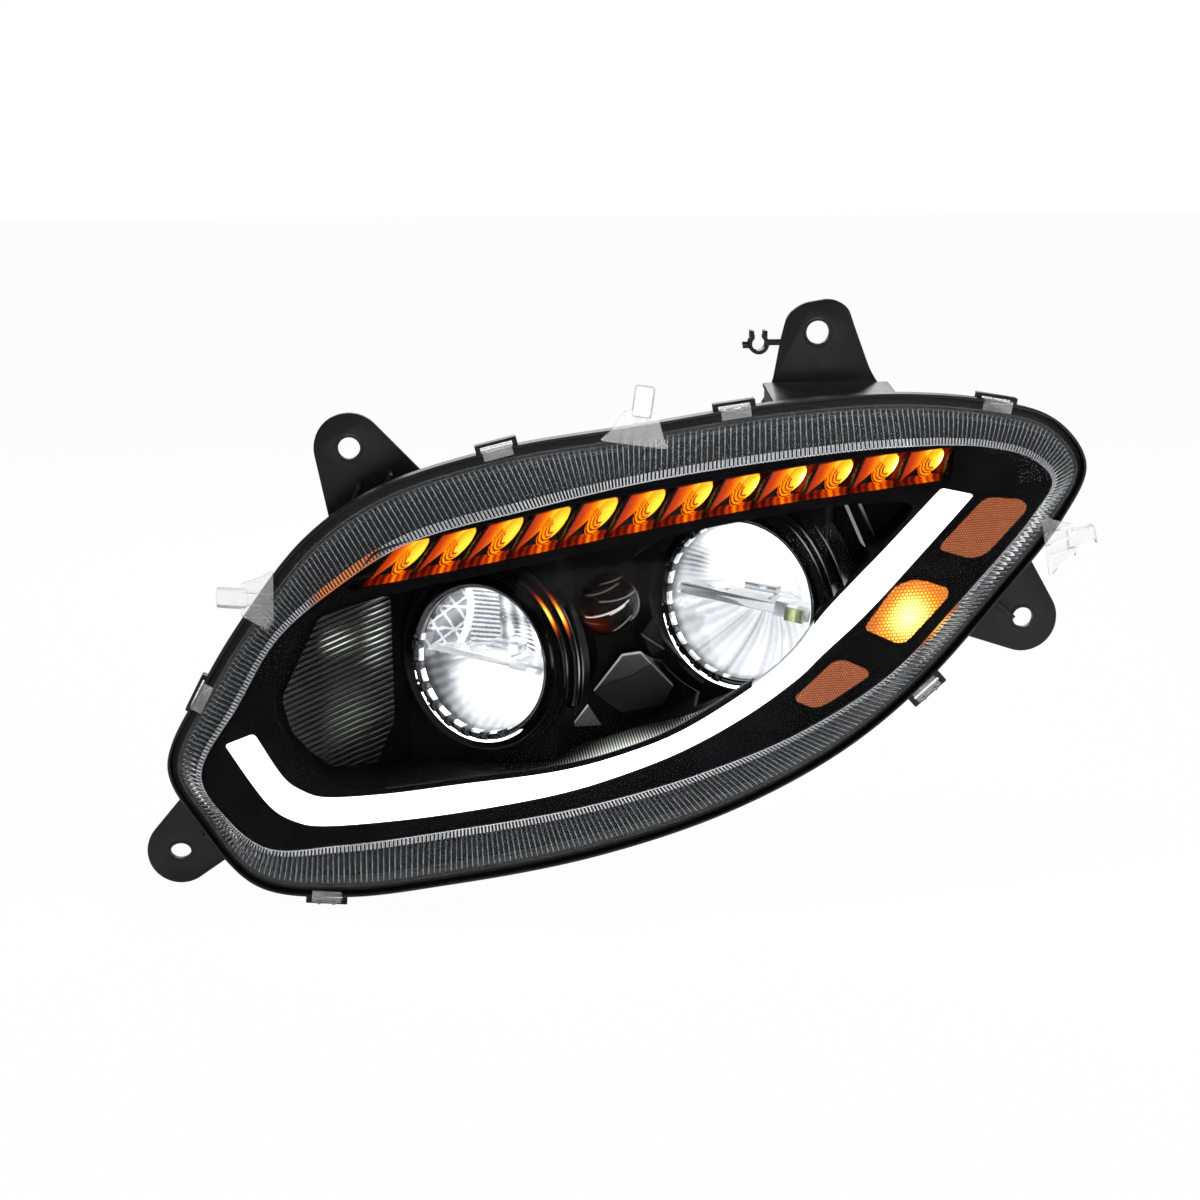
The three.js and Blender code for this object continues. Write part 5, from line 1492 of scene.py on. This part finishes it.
def build_blades():
    """Blades right of the high beam with amber light on their edges, and thin arcs beside both bowls."""
    for i, (radius, front, start, end) in enumerate(BLADES):
        made = arc_wall("blade", radius, 2.4, front, 12, start, end)
        paint(made, "glow", lambda x, y, z: 0.9 * np.exp(-(((z - 46) / 14) ** 2)) * step_up(front + 4.6 - y, 0, 4.2))
        within_recess(along_beam(made, HIGH_BEAM))
        finish_piece(made, f"trim_blade_{i + 1}", "lamp_body", BLADE_LIT, "gloss_black_plastic")
    for i, (bowl, radius, front, start, end, level) in enumerate(TRIM_ARCS):
        made = arc_wall("arc", radius, 1.2, front, 10, start, end, taper=4)
        paint(made, "glow", lambda x, y, z: level * step_up(front + 1.6 - y, 0, 1.4) * (0.7 + 0.3 * np.cos(z * 0.11)))
        within_recess(along_beam(made, bowl))
        finish_piece(made, f"trim_arc_{i + 1}", "lamp_body", GLINT_BLACK, "gloss_black_plastic")


def near_line(x, z, start, end, width):
    """1 on the line from start to end, falling to 0 at a width away from it."""
    way = np.subtract(end, start)
    share = np.clip(((x - start[0]) * way[0] + (z - start[1]) * way[1]) / way.dot(way), 0, 1)
    away = np.hypot(x - start[0] - share * way[0], z - start[1] - share * way[1])
    return np.exp(-((away / width) ** 2))


TRIM_FACETS = [  # (outline, how bright it is at its top)
    ([(-27, -39), (-4, -9), (11, -7), (22, -14), (5, -25), (-14, -31)], 0.32),
    ([(-27, -41), (-14, -33), (5, -27), (22, -16), (38, -36), (30, -52), (-4, -58)], 0.2),
    ([(-46, -69), (-32, -51), (-21, -68)], 0.36),
    ([(12, 8), (24, 26), (30, -4), (20, -10)], 0.18),
]
TRIM_LINES = [  # lit edges, from one place to another
    ((-27, -39), (-4, -9)), ((-4, -9), (11, -7)), ((11, -7), (38, -36)), ((-46, -69), (-32, -51)),
    ((12, 8), (30, -4)),
]
TRIM_RIBS = [((192, 80), (177, 114)), ((202, 84), (187, 117))]


def facet_glint(x, z, base, top):
    edge = np.maximum.reduce([near_line(x, z, start, end, 0.6) for start, end in TRIM_LINES])
    return np.maximum(base - 0.004 * (top - z), 0) + 0.36 * edge


def build_trim_facets():
    """Flat facets of the trim between the bowls, which catch light along their edges."""
    for i, (outline, base) in enumerate(TRIM_FACETS):
        floor = 26.5 + 3 * (i == 1)
        top = max(place[1] for place in outline)
        made = relief(outline, lambda x, z: floor - 0.02 * x - 0.03 * z, floor + 6, 0.5, "facet")
        paint(made, "glow", lambda x, y, z: facet_glint(x, z, base, top))
        finish_piece(made, f"trim_facet_{i + 1}", "lamp_body", GLINT_BLACK, "gloss_black_plastic")
    for i, (low, high) in enumerate(TRIM_RIBS):
        made = prism([low, (low[0] + 1.1, low[1]), (high[0] + 1.1, high[1]), high], -70, -46)
        paint(made, "glow", 0.55)
        within_recess(made)
        finish_piece(made, f"trim_rib_{i + 1}", "lamp_body", GLINT_BLACK, "gloss_black_plastic")


SILL_COLUMNS = 1100
SILL_ROWS = 16
SILL_PITCH = 2.3


def sill_floor(x):
    """Depth of the recess's floor at a place across it."""
    across, deep = zip(*RECESS_FLOOR)
    return np.interp(x, across, deep)


def build_sill():
    """Ribs on the recess's lower wall, lit from in front by the light guide."""
    lower_edge = [(x, z) for x, z in RECESS if z < -10 and -240 < x < 105]
    path = np.array(smooth_path(lower_edge, SILL_COLUMNS))
    way = np.gradient(path, axis=0)
    way /= np.linalg.norm(way, axis=1)[:, None]
    inward = np.stack([-way[:, 1], way[:, 0]], -1)
    if inward[0, 1] < 0:
        inward = -inward
    share = np.linspace(0, 1, SILL_ROWS)
    length = np.concatenate([[0], np.cumsum(np.linalg.norm(np.diff(path, axis=0), axis=1))])
    crest = 0.5 + 0.5 * np.cos(length * 2 * math.pi / SILL_PITCH)
    skin = FLANGE_Y + wrap(path[:, 0]) + SKIN_DEPTH + 2
    deep = np.clip(sill_floor(path[:, 0]) - 0.4, skin + 4, skin + 46 - 43 * step_up(path[:, 0], 0, 70))
    y = skin[:, None] * (1 - share) + deep[:, None] * share

    def layer(height):
        flat = path + inward * height[:, None]
        return np.stack([flat[:, :1] + 0 * y, y, flat[:, 1:] + 0 * y], -1)

    made = slab_between("sill", layer(0.7 + 0.7 * crest), layer(0.1 + 0 * crest))
    reach = (0.2 + 0.8 * np.exp(-(((path[:, 0] + 8) / 46) ** 2)))[:, None]
    fade = np.exp(-(y - skin[:, None]) / (12 + 30 * reach))
    paint_front(made, "glow", fade * reach * (0.5 + 0.5 * crest[:, None]) * step_up(84 - path[:, :1], 0, 40))
    finish_piece(made, "recess_sill_ribs", "lamp_body", PANEL_LIT, "gloss_black_plastic", angle=25)


# ---------------------------------------------------------------- centre lamp

DOME_REACH = 46.0
DOME_WALL = 3.0
DOME_STREAKS = [  # (start, end, width, how bright)
    ((-34, 24), (0, 40), 0.7, 0.85), ((-24, 40), (6, 44), 0.5, 0.6), ((-33, 42), (-8, 52), 0.5, 0.5),
    ((-16, 31), (-4, 37), 1.0, 0.8), ((-34, 18), (-24, 21), 0.5, 0.5), ((-12, 14), (2, 27), 0.6, 0.65),
    ((-20, 52), (-4, 55), 0.4, 0.5), ((-28, 28), (-12, 35), 0.5, 0.6),
]


def dome_glow(x, y, z):
    """Painted streaks of reflected light on the smoked dome, a painted bright line down its right edge, and a dull
    red painted glow at its heart.
    """
    across, up = x - CENTRE_LAMP["x"], z - CENTRE_LAMP["z"]
    away = np.hypot(across, up) / DOME_RADIUS
    turn = np.degrees(np.arctan2(up, across))
    red_glow = 0.19 * np.exp(-(((x + 26) / 13) ** 2) - ((z - 20) / 12) ** 2)
    rim = 0.62 * np.exp(-(((away - 0.93) / 0.018) ** 2)) * np.exp(-(((turn - 5) / 42) ** 2))
    streaks = [level * near_line(x, z, start, end, width) for start, end, width, level in DOME_STREAKS]
    return np.maximum.reduce([red_glow, rim, *streaks])


def build_centre_lamp():
    middle = [CENTRE_LAMP[axis] for axis in "xyz"]
    turns = np.linspace(0.02, 1.45, 90)

    def bulge(r, reach, steps):
        return [(r * math.sin(t), -reach * math.cos(t) ** 1.3) for t in steps]

    r, inside, reach = DOME_RADIUS, DOME_RADIUS - 2.5, DOME_REACH - DOME_WALL
    front = [(0, -DOME_REACH), *bulge(r, DOME_REACH, turns), (r, 0), (r, 3)]
    rear = [(inside, 3), *bulge(inside, reach, turns[::-6]), (0, -reach)]
    dome = move(turned(front + rear, 288), *middle)
    paint(dome, "glow", dome_glow)
    finish_piece(dome, "smoked_dome", "lamp_body", DOME_LIT, "smoked_lens", "centre_lamp_lens", angle=40)
    rings = [(0, -30), (5, -27), (7.6, -22), (6.6, -20), (8.6, -16), (7.6, -13), (9, -9), (8, -6), (9, -2)]
    rings += [(14, -2), (14, 12), (0, 12)]
    bulb = move(turned(rings, 96), *middle)
    paint(bulb, "glow", lambda x, y, z: 0.16 + 0.16 * np.exp(-(((y + 68) / 8) ** 2)))
    finish_piece(bulb, "centre_bulb", "lamp_body", MARKER_LIT, "amber_bulb", "centre_lamp_bulb", angle=40)


# ---------------------------------------------------------------- rear parts


def from_plane(y, profile):
    """A profile of (radius, distance) moved to start at y."""
    return [(r, y + along) for r, along in profile]


def build_cap(name, place):
    """A rear cap with its grip, lugs and knurls, and its seal in the groove of its spigot."""
    rear, x, z = place["rear"], place["x"], place["z"]
    front, r = rear + 0.4, CAP_RADIUS
    disc = [(0, 0), (r, 0), (r, 4), (r - 1, 6.6), (r - 3, 8), (r - 8, 8), (r - 9, 7), (r - 20, 7), (r - 21, 8)]
    disc = from_plane(front, [*disc, (0, 8)])
    spigot = rod(CAP_OPENING - 1, rear - 9, front + 2, sides=128)
    grip = soften(box(62, 12, 10, 0, front + 10, 0), 1.6, 3)
    lugs = [move(box(8, 6, 6, 0, front + 3, r, 0.8), turn=22.5 + 45 * k) for k in range(8)]
    clear_of_lugs = [turn for turn in range(0, 360, 5) if (turn + 22.5) % 45 > 9]
    knurls = [move(box(1.8, 3.6, 1.6, 0, front + 2.4, r + 0.2, 0.3), turn=turn) for turn in clear_of_lugs]
    body = join(turned(disc, 144), spigot, grip, *lugs, *knurls)
    groove = cut(rod(CAP_OPENING, rear - 6.4, rear - 2.6), rod(CAP_OPENING - 2.4, rear - 8, rear))
    cut(body, rod(CAP_OPENING - 4, rear - 20, front + 4, sides=96), groove)
    moving = f"{name}_cap"
    move(body, x, 0, z)
    finish_piece(body, f"{name}_access_cap", moving, CAP_BLACK, "black_plastic", f"{name}_rear_cap")
    inside, outside = CAP_OPENING - 2, CAP_OPENING - 0.4
    lips = [(outside - 0.4, -6), (outside, -5), (outside - 0.5, -4.5), (outside, -3.6), (outside - 0.4, -3)]
    seal = turned(from_plane(rear, [(inside, -6), *lips, (inside, -3)]), 128)
    move(seal, x, 0, z)
    finish_piece(seal, f"{name}_cap_gasket", moving, RED_RUBBER, "red_rubber", f"{name}_cap_seal")


def build_adjuster(name, place):
    """An adjuster's bush in the rear wall, and the knurled knob with a hexagon that turns in it."""
    x, z = place
    front = REAR_Y + 4.4
    collar = soften(rod(12, REAR_Y + 0.4, REAR_Y + 4, sides=64), 0.6, 2, 60)
    bush = cut(join(rod(7.6, REAR_Y - 6, REAR_Y + 3), collar), rod(5.9, 0, 40))
    move(bush, x, 0, z)
    fixed = f"{name}_aim_bush"
    finish_piece(bush, f"{name}_adjuster_bush", "lamp_body", GREY_PLASTIC, "grey_plastic", fixed)
    wheel = soften(rod(13, front, front + 8, sides=72), 0.8, 2, 60)
    hexagon = soften(rod(7, front + 7, front + 13, sides=6), 0.5)
    grips = [move(box(2.6, 7, 3, 0, front + 4, 13, 0.5), turn=15 * k) for k in range(24)]
    knob = join(rod(5.6, REAR_Y - 6, front + 1), wheel, hexagon, *grips)
    cut(knob, rod(3.4, 0, front + 10))
    move(knob, x, 0, z)
    finish_piece(knob, f"{name}_adjuster_knob", f"{name}_knob", NYLON, "natural_nylon", f"{name}_aim_knob")


def on_driver(made):
    return move(made, DRIVER["x"], 0, DRIVER["z"], DRIVER["turn"])


def cross_head(seat, profile, slot, shank, tip):
    """A cross-head screw: its head's profile from its seat, (width, depth, length) of its slot, its shank."""
    head = turned(from_plane(seat, profile), 48)
    top = seat + profile[-1][1]
    width, depth, length = slot
    cut(head, box(width, depth, length, 0, top, 0), box(length, depth, width, 0, top, 0))
    return join(head, rod(shank, tip, seat + 1))


def build_driver():
    front, w, h = REAR_Y + 0.4, DRIVER["width"], DRIVER["height"]
    base = box(w, 5, h, 0, front + 2.5, 0, 1.2)
    body = box(w - 26, 14, h, 0, front + 9, 0, 1.2)
    fins = [box(w - 30, 12, 2.4, 0, front + 21, -24.5 + 7 * k, 0.7) for k in range(8)]
    made = join(base, body, *fins)
    corners = [(a * (w / 2 - 6), b * (h / 2 - 6)) for a, b in ((-1, -1), (1, -1), (1, 1), (-1, 1))]
    cut(made, *[rod(2.6, 0, front + 8, x, z) for x, z in corners])
    finish_piece(on_driver(made), "finned_driver_box", "lamp_body", CAST, "cast_aluminium", "led_driver")
    head = [(0, 0), (4.6, 0), (4.6, 1.6), (3.6, 2.7), (2, 3), (0, 3)]
    for i, (x, z) in enumerate(corners):
        made = on_driver(move(cross_head(front + 5.4, head, (1.4, 3, 6), 2.1, front), x, 0, z))
        node = f"driver_screw_{i + 1}"
        finish_piece(made, f"driver_mount_screw_{i + 1}", "lamp_body", ZINC, "zinc_steel", node)


def build_breathers():
    cap = from_plane(REAR_Y, [(0, 0.4), (9, 0.4), (9, 7.6), (8.2, 8.8), (7, 9), (0, 9)])
    for i, (x, z) in enumerate(BREATHERS):
        made = join(turned(cap, 64), rod(4.6, REAR_Y - 3, REAR_Y + 2))
        cut(made, *[move(box(2.2, 3, 5, 0, REAR_Y + 2.2, 8.4), turn=45 * k) for k in range(8)])
        move(made, x, 0, z)
        finish_piece(made, f"vent_cap_{i + 1}", "lamp_body", RUBBER, "black_rubber", f"breather_{i + 1}")


def build_bezel_screws():
    head = [(0, 0), (5.5, 0), (5.5, 1.6), (4.4, 3), (2, 3.6), (0, 3.6)]
    for i, (x, z) in enumerate(BEZEL_SCREWS):
        made = move(cross_head(REAR_Y + 0.4, head, (1.6, 4, 7), 2, REAR_Y - 12), x, 0, z)
        node = f"bezel_screw_{i + 1}"
        finish_piece(made, f"bezel_mount_screw_{i + 1}", "lamp_body", ZINC, "zinc_steel", node)


def build_grommet():
    x, z = GROMMET
    boot = [(0, 0.4), (15, 0.4), (15, 4), (12, 5), (10, 7), (8.6, 9), (9.2, 10.5), (8.2, 12), (9.0, 13.5), (8, 18)]
    body = join(turned(from_plane(REAR_Y, [*boot, (0, 18)]), 96), rod(9.6, REAR_Y - 4, REAR_Y + 3))
    made = move(cut(body, rod(5.6, 0, 60)), x, 0, z)
    finish_piece(made, "cable_boot", "lamp_body", RUBBER, "black_rubber", "harness_grommet")


def tube(p, radius, sides):
    """A tube along points, with a radius for each point."""
    along = np.gradient(p, axis=0)
    along /= np.linalg.norm(along, axis=1)[:, None]
    side = np.cross(along, (1.0, 0.0, 0.0))
    side /= np.linalg.norm(side, axis=1)[:, None]
    other = np.cross(along, side)
    a = np.arange(sides) / sides * 2 * math.pi
    c, s = np.cos(a)[None, :, None], np.sin(a)[None, :, None]
    return swept("tube", p[:, None] + radius[:, None, None] * (side[:, None] * c + other[:, None] * s))


CABLE_STEPS = 460
STEPS_PER_RIDGE = 8


def build_harness():
    """The corrugated cable from the grommet down to the open-ended connector with its pins."""
    gx, gz = GROMMET
    cx, cy, cz = CONNECTOR
    knots = [(gx, REAR_Y - 3, gz), (gx, REAR_Y + 9, gz), (gx, REAR_Y + 21, gz), (gx + 2, REAR_Y + 36, gz - 14)]
    knots += [(gx + 6, REAR_Y + 34, gz - 44), (cx + 2, cy, cz + 34), (cx, cy, cz + 16)]
    step = np.arange(CABLE_STEPS)
    ridges = 4.3 + 0.35 * np.tanh(3 * np.cos(step * 2 * math.pi / STEPS_PER_RIDGE))
    cable = tube(open_curve(knots, CABLE_STEPS), ridges, 32)
    finish_piece(cable, "corrugated_cable", "lamp_body", SLEEVE, "cable_sleeve", "wire_harness", angle=50)
    flange, latch = box(44, 4, 8, cx, cy, cz - 10, 0.8), box(12, 5, 18, cx, cy + 13, cz, 0.8)
    grips = [box(1.4, 25.2, 12, cx - 14 + 4 * k, cy, cz + 4, 0.4) for k in range(8)]
    made = join(box(38, 24, 30, cx, cy, cz - 1, 1.4), flange, latch, *grips)
    cut(made, box(32, 18, 18, cx, cy, cz - 14, 0.8), box(11.2, 11.2, 6, cx, cy, cz + 16))
    pins = [(cx - 12 + 8 * k, cy - 4 + 8 * j) for k in range(4) for j in range(2)]
    join(made, *[box(1.6, 1.6, 10, x, y, cz - 10, 0.2) for x, y in pins])
    finish_piece(made, "cable_connector", "lamp_body", GREY_PLASTIC, "grey_plastic", "harness_connector")


# ---------------------------------------------------------------- CAD nodes that keep their own shape

BOARDS = ("drl_led_board_inboard", "drl_led_board_outboard", "turn_signal_led_board", "side_marker_led_board")
KEPT = [(name, BOARD) for name in (*BOARDS, "high_beam_led_board", "low_beam_led_board")]
KEPT += [("drl_reflector_tray", WHITE_PLASTIC), ("side_marker_housing", BEZEL_BLACK)]
KEPT += [("high_beam_heat_sink", CAST), ("low_beam_heat_sink", CAST)]
KEPT += [("reflector_carrier", BEZEL_BLACK), ("pivot_cup", NYLON)]
KEPT += [(f"{name}_ball_stud", ZINC) for name in ("pivot", "vertical_aim", "horizontal_aim")]


def dress(name, material):
    """Gives a CAD node its material and small bevels."""
    node = frame["nodes"][name]
    node.data.materials.clear()
    node.data.materials.append(material)
    bevel = node.modifiers.new("bevel", "BEVEL")
    bevel.width = 0.3 * MM
    bevel.segments = 2
    bevel.limit_method = "ANGLE"
    bevel.angle_limit = math.radians(40)


# ---------------------------------------------------------------- the scene

build_housing()
build_seal()
build_snap_tongues()
build_lens()
build_flute_teeth()
build_gate_tabs()
build_guide()
build_strip()
build_reflexes()
build_marker()
build_bezel()
build_fluted_panel()
build_blades()
build_trim_facets()
build_sill()
for beam, bowl in (("high_beam", HIGH_BEAM), ("low_beam", LOW_BEAM)):
    build_reflector(beam, bowl)
    build_trim_ring(beam, bowl)
    build_glow_arc(beam, bowl)
    build_led_bar(beam, bowl)
    build_emitter(beam, bowl)
build_side_emitter("low_beam", LOW_BEAM)
build_centre_lamp()
for beam, place in (("high_beam", HIGH_POD), ("low_beam", LOW_POD)):
    build_cap(beam, place)
for aim, place in (("vertical", VERTICAL_AIM), ("horizontal", HORIZONTAL_AIM)):
    build_adjuster(aim, place)
build_driver()
build_breathers()
build_bezel_screws()
build_grommet()
build_harness()
for node, material in KEPT:
    dress(node, material)

# ---------------------------------------------------------------- camera, floor, light

CAMERA_AZIMUTH = math.radians(-4)
CAMERA_ELEVATION = math.radians(12)
CAMERA_DISTANCE = 2.2
FOCAL_LENGTH = 82.0
SENSOR = 36.0
AIM_RIGHT = -0.0241
AIM_UP = 0.0419


def build_camera():
    """The camera solved from the photo, aimed at the flange."""
    c, s = math.cos(CAMERA_AZIMUTH), math.sin(CAMERA_AZIMUTH)
    level = math.cos(CAMERA_ELEVATION)
    towards = Vector((s * level, -c * level, math.sin(CAMERA_ELEVATION)))
    right = Vector((c, s, 0))
    up = towards.cross(right)
    data = bpy.data.cameras.new("camera")
    data.lens, data.sensor_width = FOCAL_LENGTH, SENSOR
    data.clip_start, data.clip_end = 0.05, 60
    camera = bpy.data.objects.new("camera", data)
    bpy.context.scene.collection.objects.link(camera)
    aim = TO_ROW_FRAME @ Vector((0, FLANGE_Y * MM, 0)) + right * AIM_RIGHT + up * AIM_UP
    turn = Matrix((right, up, towards)).transposed().to_4x4()
    camera.matrix_world = Matrix.Translation(aim + towards * CAMERA_DISTANCE) @ turn
    bpy.context.scene.camera = camera


def area_light(name, place, target, size, power):
    data = bpy.data.lights.new(name, "AREA")
    data.shape, data.size, data.size_y = "RECTANGLE", size[0], size[1]
    data.energy = power
    light = bpy.data.objects.new(name, data)
    bpy.context.scene.collection.objects.link(light)
    turn = (Vector(target) - Vector(place)).to_track_quat("-Z", "Y").to_matrix().to_4x4()
    light.matrix_world = TO_ROW_FRAME @ Matrix.Translation(place) @ turn


def build_floor():
    """A floor that the camera sees as white, and that throws soft light back."""
    low = min(CAD_BOX[0][2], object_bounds()[0][2])
    mesh = bpy.data.meshes.new("floor")
    half = 8
    corners = [(-half, -half, low), (half, -half, low), (half, half, low), (-half, half, low)]
    mesh.from_pydata(corners, [], [(0, 1, 2, 3)])
    floor = bpy.data.objects.new("floor", mesh)
    bpy.context.scene.collection.objects.link(floor)
    n = Nodes("floor")
    soft = n.ramp(n.noise(1.5, 2), [(0.3, (0.9, 0.9, 0.9)), (0.7, (0.93, 0.93, 0.93))])
    glow = dict(Emission_Color=(1, 1, 1, 1), Emission_Strength=0.12)
    base = n.add("BsdfPrincipled", Base_Color=soft, Roughness=0.9, **glow)
    seen = n.add("Emission", Color=(1, 1, 1, 1), Strength=1.0)
    to_camera = n.math("MULTIPLY", n.add("LightPath").outputs["Is Camera Ray"], 0.97)
    mesh.materials.append(n.done(n.mix(to_camera, base.outputs[0], seen.outputs[0])))


def build_world():
    """White to the camera, and dim to everything else."""
    world = bpy.data.worlds.new("studio")
    bpy.context.scene.world = world
    world.use_nodes = True
    tree = world.node_tree
    tree.nodes.clear()
    seen, dim = tree.nodes.new("ShaderNodeBackground"), tree.nodes.new("ShaderNodeBackground")
    seen.inputs["Color"].default_value = (1, 1, 1, 1)
    dim.inputs["Color"].default_value = (1, 1, 1, 1)
    dim.inputs["Strength"].default_value = 0.07
    path, mix = tree.nodes.new("ShaderNodeLightPath"), tree.nodes.new("ShaderNodeMixShader")
    output = tree.nodes.new("ShaderNodeOutputWorld")
    tree.links.new(path.outputs["Is Camera Ray"], mix.inputs[0])
    tree.links.new(dim.outputs[0], mix.inputs[1])
    tree.links.new(seen.outputs[0], mix.inputs[2])
    tree.links.new(mix.outputs[0], output.inputs[0])


build_camera()
build_floor()
build_world()
area_light("overhead", (0.1, -0.5, 1.7), (0, -0.05, 0), (1.8, 0.7), 22)
area_light("left_strip", (-1.6, -1.1, 0.5), (0, -0.1, 0), (0.5, 1.8), 5)
area_light("right_strip", (1.6, -0.9, 0.6), (0, -0.1, 0), (0.3, 1.4), 8)
area_light("front_low", (0.3, -2.0, -0.1), (0, 0, 0), (1.6, 0.2), 5)
area_light("rear", (0.0, 1.8, 1.0), (0, 0, 0), (1.6, 0.8), 20)
scene = bpy.context.scene
scene.view_settings.view_transform = "Standard"
scene.cycles.transparent_max_bounces = 24
